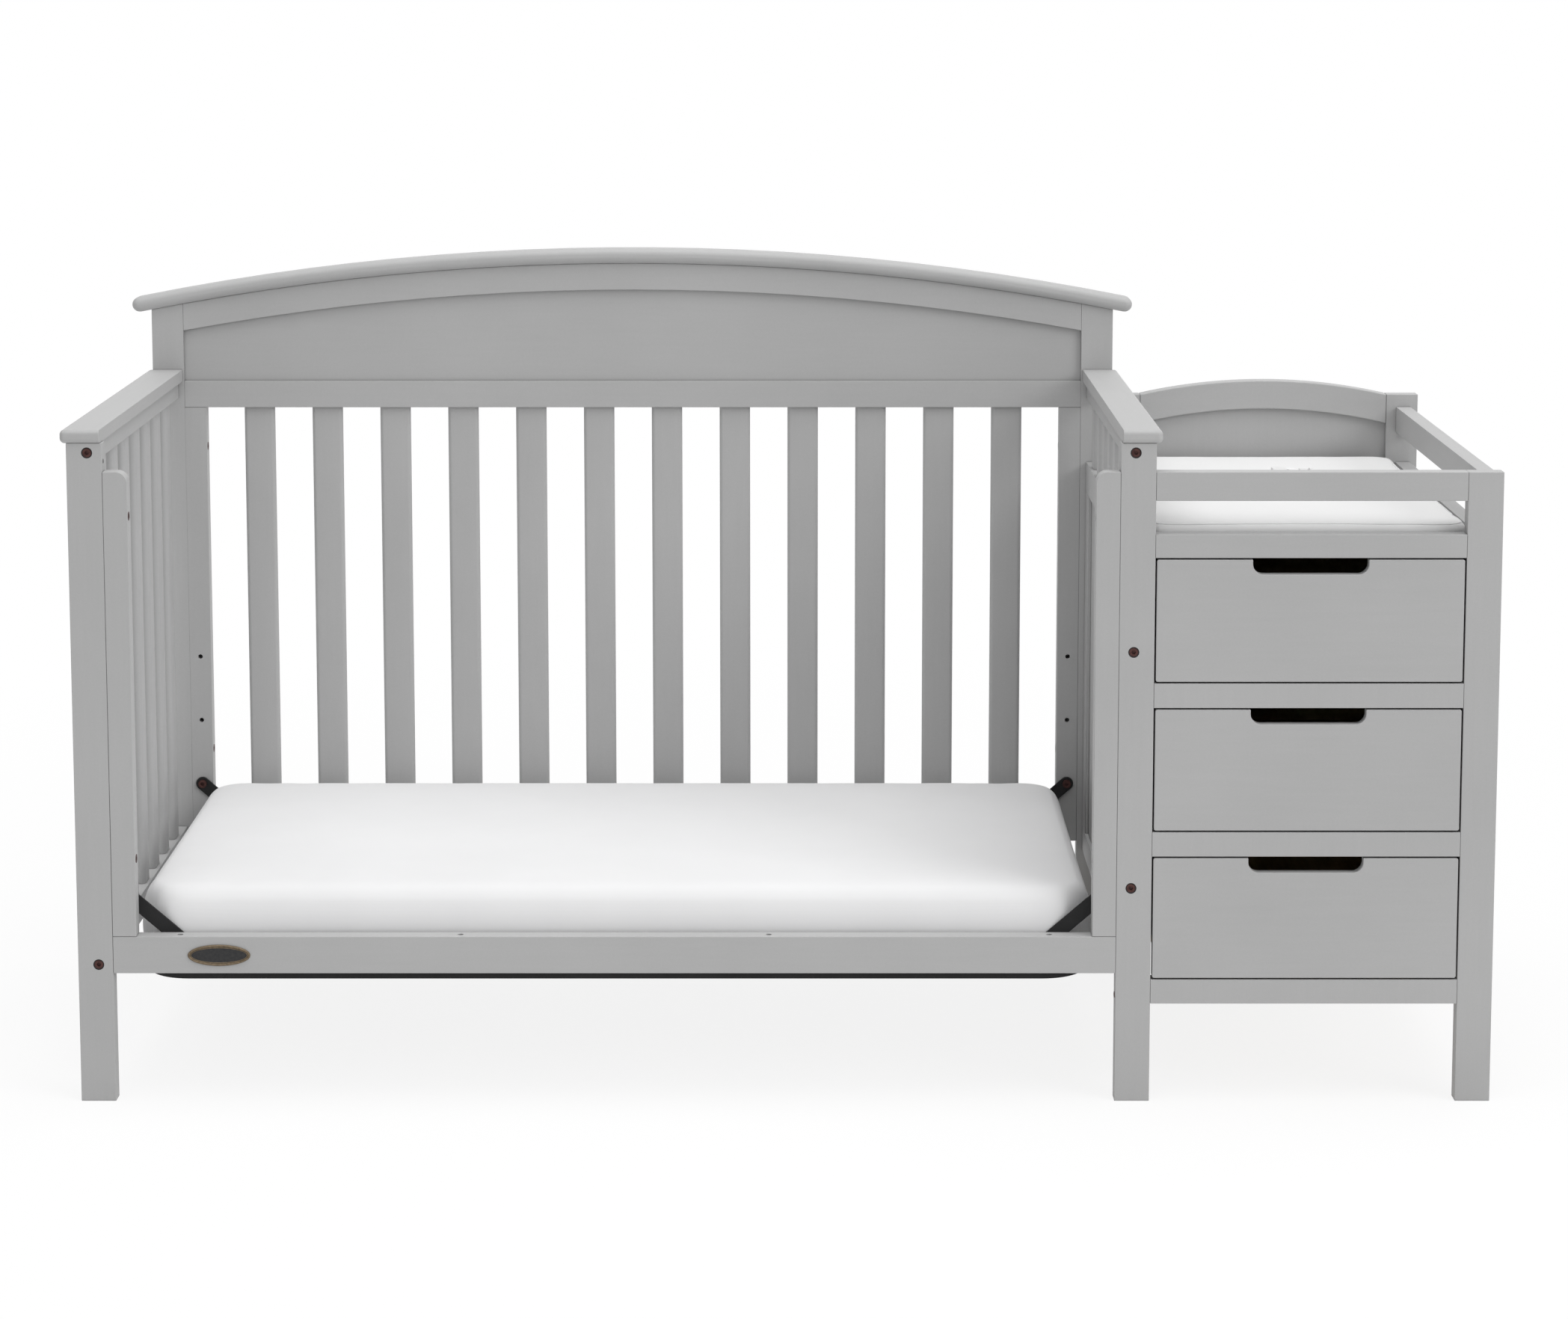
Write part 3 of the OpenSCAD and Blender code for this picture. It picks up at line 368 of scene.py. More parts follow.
def weigh_edges(mesh, along=None, across=1.0):
    """Bevel weights: 1 for long sharp edges, less where they don't run along the axis, 0 for bore rims.

    The rims are marked sharp instead, so that the faces round them stay flat.
    """
    points = numpy.empty(len(mesh.vertices) * 3)
    mesh.vertices.foreach_get("co", points)
    points = points.reshape(-1, 3)
    spots = [tuple(spot) for spot in numpy.round(points / SAME_SPOT).astype(int)]
    sides = {}
    for face in mesh.polygons:
        for one, two in face.edge_keys:
            sides.setdefault(frozenset((spots[one], spots[two])), []).append(face.normal)
    weights, creases = [], []
    for edge in mesh.edges:
        one, two = edge.vertices
        normals = sides.get(frozenset((spots[one], spots[two])), [])
        way = points[two] - points[one]
        length = numpy.linalg.norm(way)
        sharp = len(normals) == 2 and normals[0].dot(normals[1]) < SHARP_COS
        creases.append(sharp and length < LONG_EDGE)
        if not sharp or length < LONG_EDGE:
            weights.append(0.0)
        elif along is None or abs(way["xyz".index(along)]) > ON_AXIS * length:
            weights.append(1.0)
        else:
            weights.append(across)
    mesh.attributes.new("bevel_weight_edge", "FLOAT", "EDGE").data.foreach_set("value", weights)
    crease = mesh.attributes.get("sharp_edge") or mesh.attributes.new("sharp_edge", "BOOLEAN", "EDGE")
    crease.data.foreach_set("value", [bool(value) for value in creases])


def finish_node(name, material, edge, segments=2, along=None, across=1.0):
    """Gives a CAD node its material, and eases its sharp edges by a small radius."""
    obj = NODES[name]
    mesh = obj.data
    drop_custom_normals(mesh)
    dress_mesh(mesh, material)
    weld = obj.modifiers.new("weld", "WELD")
    weld.merge_threshold = WELD_DIST
    tidy = obj.modifiers.new("tidy", "DECIMATE")
    tidy.decimate_type = "DISSOLVE"
    tidy.angle_limit = FLAT_ANGLE
    bevel = obj.modifiers.new("eased_edges", "BEVEL")
    bevel.width = edge
    bevel.segments = segments
    if name in STRAIGHT:
        weigh_edges(mesh, along, across)
        bevel.limit_method = "WEIGHT"
    else:
        bevel.limit_method = "ANGLE"
        bevel.angle_limit = SHARP_ANGLE
        bevel.miter_outer = "MITER_ARC"
    bevel.use_clamp_overlap = name not in STRAIGHT
    bevel.harden_normals = True


def longest_axis(name):
    low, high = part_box(name)
    size = high - low
    return "xyz"[max(range(3), key=lambda i: size[i])]


# Nodes whose grain runs upwards, and straight boards with bores, whose bevels go by edge weights
UPRIGHT = {"left_side_slats", "right_side_slats", "back_slats", "front_stiles", "back_stiles",
           "right_side_panel_stiles"}
STRAIGHT = UPRIGHT | {"front_left_post", "front_centre_post", "front_right_post", "back_left_post",
                      "back_centre_post", "changer_back_right_post", "front_rail", "left_side_top_rail",
                      "left_side_bottom_rail", "right_side_top_rail", "right_side_mid_rail",
                      "right_side_bottom_rail"}
METAL = {"mattress_support_frame": BLACK, "mattress_support_bars": BLACK,
         "mattress_support_hangers": BLACK, "frame_bolts": BRONZE, "drawer_slide_channels": ZINC}
EDGE = {"left_side_slats": 0.0035, "right_side_slats": 0.0035, "back_slats": 0.0028,
        "front_stiles": 0.0010, "back_stiles": 0.0010, "changer_arched_rail": 0.002,
        "headboard_cap": 0.0006, "left_arm_cap": 0.0008, "right_arm_cap": 0.0008,
        "headboard_panel": 0.0006, "changer_back_panel": 0.0006}
DEFAULT_EDGE = 0.0008
METAL_EDGE = 0.0005
SLIDE_EDGE = 0.0003
BOX_EDGE = 0.001
DRAWER_FRONT_EDGE = 0.0012
SLAT_SEGMENTS = 4
SLAT_END_EASE = 0.15     # the ends of a slat are eased by this share of its long edges

for name in NODES:
    if name in ("mattress", "changing_pad"):
        continue
    if name in METAL:
        finish_node(name, METAL[name], METAL_EDGE)
    elif name.endswith("_drawer_slides"):
        finish_node(name, ZINC, SLIDE_EDGE, segments=1)
    elif name.endswith(("_drawer_box", "_drawer_bottom")):
        finish_node(name, BARE, BOX_EDGE)
    elif name.endswith("_drawer_front"):
        finish_node(name, PAINT_ALONG["x"], DRAWER_FRONT_EDGE)
    else:
        axis = "z" if name in UPRIGHT else longest_axis(name)
        slats = name.endswith("_slats")
        finish_node(name, PAINT_ALONG[axis], EDGE.get(name, DEFAULT_EDGE),
                    segments=SLAT_SEGMENTS if slats else 2,
                    along="z" if slats else None, across=SLAT_END_EASE)


# ---------------------------------------------------------------- mesh helpers

def link_mesh(name, mesh, material):
    """A new smooth-shaded object with one material."""
    obj = bpy.data.objects.new(name, mesh)
    bpy.context.scene.collection.objects.link(obj)
    dress_mesh(mesh, material)
    return obj


def new_piece(name, bm, material, body):
    """Turns a bmesh into a piece that rides on a body and takes its finish from a slot."""
    bmesh.ops.recalc_face_normals(bm, faces=bm.faces)
    mesh = bpy.data.meshes.new(name)
    bm.to_mesh(mesh)
    bm.free()
    obj = link_mesh(name, mesh, material)
    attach(obj, body)
    return obj


def apply_modifiers(obj):
    """Replaces an object's mesh by what its modifiers make of it."""
    graph = bpy.context.evaluated_depsgraph_get()
    mesh = bpy.data.meshes.new_from_object(obj.evaluated_get(graph))
    obj.modifiers.clear()
    obj.data = mesh


def turns(steps):
    """The angles of evenly spaced points round a full turn."""
    return [2 * math.pi * i / steps for i in range(steps)]


def lathe(bm, profile, centre, along, steps=40):
    """Adds a turned solid from its profile, a list of (radius, height)."""
    axis = Vector(along).normalized()
    side = axis.orthogonal().normalized()
    other = axis.cross(side)
    rings = []
    for radius, height in profile:
        middle = Vector(centre) + axis * height
        if radius == 0:
            rings.append([bm.verts.new(middle)])
            continue
        rings.append([bm.verts.new(middle + radius * (side * math.cos(t) + other * math.sin(t)))
                      for t in turns(steps)])
    skin(bm, rings)


def skin(bm, rings):
    """Joins closed rings of vertices with faces; a ring of one vertex closes the form to a point."""
    for one, two in zip(rings, rings[1:]):
        count = max(len(one), len(two))
        for i in range(count):
            j = (i + 1) % count
            corners = [one[i % len(one)], one[j % len(one)], two[j % len(two)], two[i % len(two)]]
            corners = list(dict.fromkeys(corners))
            if len(corners) > 2:
                bm.faces.new(corners)


TUBE_ASKEW = Vector((0.3, 0.5, 0.81))     # no tube here runs this way


def tube(bm, points, radius, steps=8):
    """Adds a closed round tube along points."""
    rings = []
    for i, point in enumerate(points):
        ahead = Vector(points[min(i + 1, len(points) - 1)]) - Vector(points[max(i - 1, 0)])
        ahead.normalize()
        side = ahead.cross(TUBE_ASKEW).normalized()
        other = ahead.cross(side)
        rings.append([bm.verts.new(Vector(point) + radius * (side * math.cos(t) + other * math.sin(t)))
                      for t in turns(steps)])
    skin(bm, rings)
    bm.faces.new(rings[0])
    bm.faces.new(rings[-1])


def block(bm, low, high):
    """Adds a box between two corners."""
    low, high = Vector(low), Vector(high)
    matrix = Matrix.Translation((low + high) / 2) @ Matrix.Diagonal((*(high - low), 1))
    bmesh.ops.create_cube(bm, size=1, matrix=matrix)


# ---------------------------------------------------------------- mattress and pad

CLOTH = woven_cloth("mattress_sheet", (0.775, 0.775, 0.78))
PAD_CLOTH = woven_cloth("pad_cover", (0.745, 0.745, 0.745), thread=0.0009)
THREAD = woven_cloth("seam_cord", (0.72, 0.72, 0.725), thread=0.0006)


def joined_copy(node, name, material):
    """A plain copy of a CAD node, with its split vertices joined."""
    mesh = NODES[node].data.copy()
    mesh.name = name
    drop_custom_normals(mesh)
    bm = bmesh.new()
    bm.from_mesh(mesh)
    bmesh.ops.remove_doubles(bm, verts=bm.verts, dist=WELD_DIST)
    bm.to_mesh(mesh)
    bm.free()
    return link_mesh(name, mesh, material)


def get_points(obj):
    points = numpy.empty(len(obj.data.vertices) * 3)
    obj.data.vertices.foreach_get("co", points)
    return points.reshape(-1, 3)


def set_points(obj, points):
    obj.data.vertices.foreach_set("co", points.reshape(-1))
    obj.data.update()


def shrink(obj, by):
    """Moves every side of a form in by a distance; its underside stays where it is."""
    points = get_points(obj)
    low, high = points.min(axis=0), points.max(axis=0)
    middle, half = (low + high) / 2, (high - low) / 2
    points[:, :2] = middle[:2] + (points[:, :2] - middle[:2]) * (1 - by / half[:2])
    points[:, 2] = low[2] + (points[:, 2] - low[2]) * (1 - by / (2 * half[2]))
    set_points(obj, points)


def remesh(obj, voxel):
    even = obj.modifiers.new("even_mesh", "REMESH")
    even.mode = "VOXEL"
    even.voxel_size = voxel
    even.use_smooth_shade = True
    apply_modifiers(obj)


COVER = {"quality": 4, "mass": 0.25, "tension_stiffness": 14, "compression_stiffness": 14,
         "shear_stiffness": 6, "bending_stiffness": 0.4, "use_pressure": True,
         "uniform_pressure_force": 3.0}
SWELL_FRAMES = 20


def swell(obj, most):
    """Fills a closed form like a sewn cover. No point moves further than most, or below its seat."""
    start = get_points(obj)
    cloth = obj.modifiers.new("cover", "CLOTH")
    for key, value in COVER.items():
        setattr(cloth.settings, key, value)
    cloth.settings.effector_weights.gravity = 0
    cloth.point_cache.frame_start = 1
    cloth.point_cache.frame_end = SWELL_FRAMES
    scene = bpy.context.scene
    for number in range(1, SWELL_FRAMES + 1):
        scene.frame_set(number)
    apply_modifiers(obj)
    scene.frame_set(1)
    move = get_points(obj) - start
    length = numpy.linalg.norm(move, axis=1, keepdims=True)
    move *= numpy.minimum(1.0, most / numpy.maximum(length, 1e-9))
    points = start + move
    seat = start[:, 2].min()
    points[:, 2] = numpy.maximum(points[:, 2], seat)
    set_points(obj, points)


def corner_frames(low, high, radius):
    """For each upright corner of a box: the middle of its curve, and the signs that point outwards."""
    for sx in (-1, 1):
        for sy in (-1, 1):
            middle = ((high[0] if sx > 0 else low[0]) - sx * radius,
                      (high[1] if sy > 0 else low[1]) - sy * radius)
            yield middle, sx, sy


def pucker_corners(obj, radius, depth, top_from, wave):
    """Small folds that fan out from the dart seam at each corner of a fitted cover."""
    points = get_points(obj)
    low, high = points.min(axis=0), points.max(axis=0)
    for number, (middle, sx, sy) in enumerate(corner_frames(low, high, radius)):
        dx, dy = (points[:, 0] - middle[0]) * sx, (points[:, 1] - middle[1]) * sy
        here = (dx > -radius) & (dy > -radius)
        out = numpy.hypot(numpy.maximum(dx, 0), numpy.maximum(dy, 0))
        along = numpy.arctan2(numpy.maximum(dy, 1e-6), numpy.maximum(dx, 1e-6)) - math.pi / 4
        height = (points[:, 2] - low[2]) / (high[2] - low[2])
        fold = numpy.cos(along * wave + 0.7 * number + 2.2 * height)
        window = numpy.exp(-(along / 0.42) ** 2) * numpy.clip((top_from - height) / 0.22, 0, 1)
        window *= numpy.clip(height / 0.15, 0, 1) * here * (out > radius * 0.5)
        pull = depth * window * (0.55 + 0.45 * fold)
        # The dart itself is a narrow valley, deepest where it ends under the top edge
        dart = numpy.exp(-(along * radius / 0.0045) ** 2)
        dart *= numpy.clip((top_from + 0.05 - height) / 0.12, 0, 1) * here * (out > radius * 0.5)
        pull += depth * 0.9 * dart * (0.45 + 0.55 * numpy.exp(-((height - top_from) / 0.12) ** 2))
        safe = numpy.maximum(out, 1e-6)
        points[:, 0] -= sx * pull * numpy.maximum(dx, 0) / safe
        points[:, 1] -= sy * pull * numpy.maximum(dy, 0) / safe
    set_points(obj, points)


def surface_of(obj):
    """A lookup tree of an object's shown surface."""
    return BVHTree.FromObject(obj, bpy.context.evaluated_depsgraph_get())


def finish_soft(obj, node, body):
    smooth = obj.modifiers.new("finer", "SUBSURF")
    smooth.levels = smooth.render_levels = 1
    apply_modifiers(obj)
    obj.data.polygons.foreach_set("use_smooth", [True] * len(obj.data.polygons))
    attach(obj, body)
    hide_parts(node)


def fill_out(obj, low, high, power, loft):
    """Stretches a swollen cushion to its full plan size, tightens its top roll and lifts its top."""
    points = get_points(obj)
    for axis in (0, 1):
        middle = (low[axis] + high[axis]) / 2
        reach = numpy.abs(points[:, axis] - middle).max()
        points[:, axis] = middle + (points[:, axis] - middle) * (high[axis] - middle) / reach
    half = (high.z - low.z) / 2
    top = points[:, 2].max()
    drop = numpy.clip((top - points[:, 2]) / half, 0, 1)
    points[:, 2] = numpy.where(drop < 1, top - half * drop ** power, points[:, 2])
    points[:, 2] += loft * numpy.clip((points[:, 2] - low.z) / (high.z - low.z), 0, 1)
    set_points(obj, points)


MATTRESS_CORNER = 0.060
SEAM_FROM, SEAM_TO = 0.006, 0.094
SEAM_STEPS = 24
SEAM_R = 0.0006
SEAM_SINK = 0.0002
CAST_FROM = 0.2


def make_mattress():
    """Fitted sheet over a foam core: swollen sides, dart seams and small folds at its corners."""
    obj = joined_copy("mattress", "mattress_sheet", CLOTH)
    shrink(obj, 0.004)
    remesh(obj, 0.008)
    swell(obj, most=0.0035)
    pucker_corners(obj, MATTRESS_CORNER, depth=0.0022, top_from=0.84, wave=15.0)
    low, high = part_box("mattress")
    fill_out(obj, low, high, power=1.6, loft=0.005)
    finish_soft(obj, "mattress", "mattress")
    surface = surface_of(obj)
    bm = bmesh.new()
    for middle, sx, sy in corner_frames(low, high, MATTRESS_CORNER):
        path = []
        away = Vector((sx, sy, 0)).normalized()
        for i in range(SEAM_STEPS + 1):
            z = low.z + SEAM_FROM + i * (SEAM_TO - SEAM_FROM) / SEAM_STEPS
            hit = surface.ray_cast(Vector((*middle, z)) + away * CAST_FROM, -away)[0]
            if hit:
                path.append(hit - away * SEAM_SINK)
        tube(bm, path, SEAM_R)
    new_piece("mattress_dart_seams", bm, THREAD, "mattress")


PAD_UNEVEN = 0.0009
WELT_Z = 0.0212
WELT_R = 0.0011
WELT_POINTS = 240
WELT_SQUARE = 6          # power of the rounded rectangle that the welt's points follow
WELT_CAST = 0.05


def make_pad():
    """Thin changing pad in a soft cover with a welted edge; returns its surface."""
    obj = joined_copy("changing_pad", "pad_cover", PAD_CLOTH)
    shrink(obj, 0.003)
    remesh(obj, 0.005)
    swell(obj, most=0.0028)
    low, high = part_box("changing_pad")
    fill_out(obj, low, high, power=1.4, loft=0.0)
    points = get_points(obj)
    # The foam lies slightly uneven in its cover
    u = (points[:, 0] - low.x) / (high.x - low.x)
    v = (points[:, 1] - low.y) / (high.y - low.y)
    up = numpy.clip((points[:, 2] - low.z) / (high.z - low.z), 0, 1)
    uneven = numpy.sin(7.3 * u + 1.1) * numpy.cos(5.1 * v + 0.6 * numpy.sin(4 * u)) - 0.9
    points[:, 2] += PAD_UNEVEN * uneven * numpy.clip((up - 0.5) * 2, 0, 1)
    set_points(obj, points)
    finish_soft(obj, "changing_pad", "changing_pad")
    surface = surface_of(obj)
    # Welt round the upper edge of the pad's side
    z = low.z + WELT_Z
    middle = (low + high) / 2
    path = []
    reach = (high - low) / 2
    for i in range(WELT_POINTS + 1):
        t = 2 * math.pi * i / WELT_POINTS
        # Points spread along a rounded rectangle, cast back onto the cover
        c, d = math.cos(t), math.sin(t)
        k = (abs(c) ** WELT_SQUARE + abs(d) ** WELT_SQUARE) ** (-1 / WELT_SQUARE)
        aim = Vector((middle.x + reach.x * c * k, middle.y + reach.y * d * k, z))
        away = Vector((c * k / reach.x, d * k / reach.y, 0)).normalized()
        hit = surface.ray_cast(aim + away * WELT_CAST, -away)[0]
        if hit:
            path.append(hit)
    bm = bmesh.new()
    tube(bm, path, WELT_R)
    new_piece("pad_welt", bm, PAD_CLOTH, "changing_pad")
    return surface


make_mattress()
pad_surface = make_pad()


# ---------------------------------------------------------------- belt over the pad

BELT_Y = 0.1020
BELT_HALF = 0.0125
BELT_THICK = 0.0014
BELT_INSET = 0.004       # where it turns over the pad's edge
BELT_STEPS = 70
BELT_LIFT = 0.0002
BELT_SIDE = ((0.0016, 0.002), (0.0022, 0.008), (0.0014, 0.015))     # (out from the pad, up)
BUCKLE_X = 0.748
BUCKLE_GAP = 0.0006
DROP_FROM = 0.1


def drop_on_pad(x):
    """The point of the pad's top that lies under the belt's middle line at x, or None."""
    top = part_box("changing_pad")[1].z
    return pad_surface.ray_cast(Vector((x, BELT_Y, top + DROP_FROM)), Vector((0, 0, -1)))[0]


def make_belt():
    """Webbing that lies across the pad and goes down beside it."""
    low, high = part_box("changing_pad")
    route = [(low.x - out, low.z + up) for out, up in BELT_SIDE]
    for i in range(BELT_STEPS + 1):
        x = low.x + BELT_INSET + (high.x - low.x - 2 * BELT_INSET) * i / BELT_STEPS
        hit = drop_on_pad(x)
        route.append((x, hit.z if hit else low.z + 0.02))
    route += [(high.x + out, low.z + up) for out, up in reversed(BELT_SIDE)]
    bm = bmesh.new()
    rings = []
    for i, (x, z) in enumerate(route):
        before, after = route[max(i - 1, 0)], route[min(i + 1, len(route) - 1)]
        ahead = Vector((after[0] - before[0], 0, after[1] - before[1])).normalized()
        up = Vector((-ahead.z, 0, ahead.x))
        base = Vector((x, BELT_Y, z)) + up * BELT_LIFT
        ring = []
        for y, lift in ((-1, 0), (-1, 1), (1, 1), (1, 0)):
            half = BELT_HALF - (0.00035 if lift else 0.0)
            side = base + Vector((0, y * half, 0))
            ring.append(bm.verts.new(side + up * (lift * BELT_THICK)))
        rings.append(ring)
    skin(bm, rings)
    bm.faces.new(rings[0])
    bm.faces.new(rings[-1])
    belt = new_piece("pad_belt", bm, WEBBING, "changing_pad")
    round_off = belt.modifiers.new("soft_edges", "BEVEL")
    round_off.width = 0.0004
    round_off.segments = 2
    round_off.limit_method = "ANGLE"


def make_buckle():
    """Side-release buckle: a body with two arms, and a plug with a tongue, two prongs and a bar."""
    z = drop_on_pad(BUCKLE_X).z + BELT_THICK + BUCKLE_GAP
    # Each row holds the low and high corners of a block: x, y from the belt's middle, z from the belt
    body = (((0.7175, -0.0160, 0.0000), (0.7385, 0.0160, 0.0088)),
            ((0.7385, -0.0160, 0.0000), (0.7540, -0.0118, 0.0072)),
            ((0.7385, 0.0118, 0.0000), (0.7540, 0.0160, 0.0072)))
    plug = (((0.7385, -0.0040, 0.0012), (0.7575, 0.0040, 0.0062)),
            ((0.7420, -0.0110, 0.0012), (0.7600, -0.0070, 0.0064)),
            ((0.7420, 0.0070, 0.0012), (0.7600, 0.0110, 0.0064)),
            ((0.7575, -0.0150, 0.0004), (0.7690, 0.0150, 0.0074)),
            ((0.7690, -0.0150, 0.0010), (0.7720, -0.0118, 0.0062)),
            ((0.7690, 0.0118, 0.0010), (0.7720, 0.0150, 0.0062)),
            ((0.7720, -0.0150, 0.0006), (0.7800, 0.0150, 0.0082)))
    for name, parts in (("buckle_body", body), ("buckle_plug", plug)):
        bm = bmesh.new()
        for a, b in parts:
            block(bm, (a[0], BELT_Y + a[1], z + a[2]), (b[0], BELT_Y + b[1], z + b[2]))
        piece = new_piece(name, bm, PLASTIC, "changing_pad")
        soft = piece.modifiers.new("rounded", "BEVEL")
        soft.width = 0.0016
        soft.segments = 4
        soft.harden_normals = True


make_belt()
make_buckle()


# ---------------------------------------------------------------- bolts, painted recess shadows, plugs and plate

# Places from the source, in metres
FRONT_Y = -0.3755
POST_T = 0.025
LEFT_INNER_X, RIGHT_INNER_X = -0.88975, 0.45825
STILE_W = 0.032
BACK_Y = 0.3445
DRAWER_PITCH = 0.2025
DRAWER_RAIL_H = 0.0333
STILE_BOLT_Z = (0.332, 0.797)
POST_BOLT_Z = 0.1445
RECESSES = ((-0.90925, (0.189, 0.88325)), (0.47775, (0.294, 0.6155, 0.88325)))     # (x, heights)
PLUG_Z = 0.871
PLUG_DEPTH = 0.011
PLATE_AT = Vector((-0.74725, FRONT_Y, 0.202))
PLATE_HALF_W, PLATE_HALF_H = 0.042, 0.0145
PLATE_STEPS = 96


def bolt_head(bm, place, out, radius=0.0060, proud=0.0016):
    """A low round head with a hexagon socket, its back sunk a little into the wood."""
    r, p = radius, proud
    lathe(bm, [(0, -0.001), (r, -0.001), (r, p * 0.45), (r * 0.93, p * 0.85), (r * 0.80, p),
               (r * 0.50, p), (r * 0.45, p * 0.9), (r * 0.42, p * 0.15), (0, p * 0.15)],
          place, out, steps=36)


def make_stile_bolts():
    """Flush bolt heads on the left stile boards' inner edges, and painted caps on the right ones'."""
    heads, caps = bmesh.new(), bmesh.new()
    cap = [(0, -0.001), (0.0062, -0.001), (0.0062, 0.0002), (0.0056, 0.0006), (0, 0.0009)]
    for y in (FRONT_Y + POST_T / 2, BACK_Y + POST_T / 2):
        for z in STILE_BOLT_Z:
            bolt_head(heads, (LEFT_INNER_X + STILE_W, y, z), (1, 0, 0), proud=0.0005)
            lathe(caps, cap, (RIGHT_INNER_X - STILE_W, y, z), (-1, 0, 0), steps=36)
    bolt_head(heads, (RIGHT_INNER_X, FRONT_Y + POST_T / 2, POST_BOLT_Z), (-1, 0, 0),
              radius=0.0045, proud=0.0010)
    new_piece("stile_bolt_heads", heads, BRONZE, "frame")
    new_piece("stile_caps", caps, PAINT_ALONG["z"], "frame")


def make_recess_shadow_rings():
    """Black rings in the bolt recesses of the front posts: painted shadow round each bolt head."""
    bm = bmesh.new()
    shadow_ring_profile = [(0.0059, 0.0010), (0.0059, 0.0020), (0.0059, 0.0047), (0.0073, 0.0047),
              (0.0073, 0.0003), (0.0069, 0.0002), (0.0059, 0.0010)]
    for x, heights in RECESSES:
        for z in heights:
            lathe(bm, shadow_ring_profile, (x, FRONT_Y, z), (0, 1, 0), steps=48)
    new_piece("bolt_recess_shadow_rings", bm, BLACK, "frame")


def make_post_plug():
    """Small plug in the left post's inner face, above the stile board; its dark colour is painted
    shade, as of a small hole.
    """
    bm = bmesh.new()
    plug = [(0, -0.001), (0.0031, -0.001), (0.0031, 0.0002), (0.0028, 0.0005), (0.0012, 0.0007),
            (0, 0.0007)]
    lathe(bm, plug, (LEFT_INNER_X, FRONT_Y + PLUG_DEPTH, PLUG_Z), (1, 0, 0), steps=28)
    new_piece("post_plug", bm, JOINT_SHADOW_PAINT, "frame")


def make_plate():
    """Plain oval plate on the front rail: a rubbed bronze rim round a dark, slightly domed field."""
    # Each step is (in from the edge, out from the rail)
    rim = [(0.0, 0.0), (0.0, 0.0011), (0.0004, 0.0017), (0.0011, 0.0021), (0.0022, 0.0021),
           (0.0028, 0.0018), (0.0031, 0.0010), (0.0036, 0.0010), (0.0039, 0.0014), (0.0044, 0.0014),
           (0.0047, 0.0009)]
    field = [(0.0047, 0.0009), (0.0075, 0.00105), (0.0105, 0.00125), (0.0128, 0.0014)]

    def ring(bm, inset, lift):
        return [bm.verts.new(PLATE_AT + Vector(((PLATE_HALF_W - inset) * math.cos(t), -lift,
                                                (PLATE_HALF_H - inset) * math.sin(t))))
                for t in turns(PLATE_STEPS)]

    bm = bmesh.new()
    skin(bm, [ring(bm, *step) for step in rim])
    new_piece("plate_rim", bm, PLATE_RIM, "frame")
    bm = bmesh.new()
    rings = [ring(bm, *step) for step in field]
    skin(bm, rings)
    bm.faces.new(rings[-1])
    new_piece("plate_field", bm, PLATE_FIELD, "frame")


JOINT_W = 0.0006
JOINT_BACK = 0.00015
JOINT_DEPTH = 0.0004
JOINT_END = 0.001        # the lines stop this far from a board's ends
BACK_POST_ABOVE = 0.16   # the back joint goes on above its stile board


def joint_lines(name, plane_y, lines):
    """Thin dark strips of painted shadow at the bottom of the joints between boards that lie flush in
    one plane.
    """
    bm = bmesh.new()
    for (x0, z0), (x1, z1) in lines:
        wide = JOINT_W / 2 if x0 == x1 else 0
        tall = JOINT_W / 2 if z0 == z1 else 0
        block(bm, (x0 - wide, plane_y + JOINT_BACK, z0 - tall),
              (x1 + wide, plane_y + JOINT_BACK + JOINT_DEPTH, z1 + tall))
    new_piece(name, bm, JOINT_SHADOW_PAINT, "frame")


def make_joints():
    """Painted shadow lines in the joints of the stile boards, the front rail and the changer's rails
    with the posts.
    """
    rail_low, rail_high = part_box("front_rail")
    stiles_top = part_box("front_stiles")[1].z
    back_low, back_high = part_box("back_stiles")
    lines, back = [], []
    for x, way in ((LEFT_INNER_X, 1), (RIGHT_INNER_X, -1)):
        left, right = sorted((x, x + way * STILE_W))
        lines.append(((x, rail_low.z + JOINT_END), (x, stiles_top - JOINT_END)))
        lines.append(((left, rail_high.z), (right, rail_high.z)))
        back.append(((x, back_low.z + JOINT_END), (x, back_high.z + BACK_POST_ABOVE)))
        back.append(((left, back_high.z), (right, back_high.z)))
    for x in [corner.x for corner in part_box("changer_top_rail")]:
        for name in ("changer_top_rail", "changer_apron_rail"):
            low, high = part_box(name)
            lines.append(((x, low.z + JOINT_END), (x, high.z - JOINT_END)))
        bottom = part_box("changer_drawer_rails")[0].z
        for level in range(3):
            z = bottom + level * DRAWER_PITCH
            lines.append(((x, z + JOINT_END), (x, z + DRAWER_RAIL_H - JOINT_END)))
    joint_lines("front_joint_lines", FRONT_Y, lines)
    joint_lines("back_joint_lines", BACK_Y, back)


make_stile_bolts()
make_joints()
make_recess_shadow_rings()
make_post_plug()
make_plate()


# ---------------------------------------------------------------- studio

AMBIENT = 0.43
FLOOR_R = 14
FADE_FROM, FADE_TO = 1.0, 3.0          # distances from the object at which the floor turns white
CAMERA_AT = (0.016, -5.5005, 1.563)
CAMERA_PITCH = 7.595
CAMERA_LENS = 89.822
CAMERA_SHIFT = (-0.00175, -0.13)


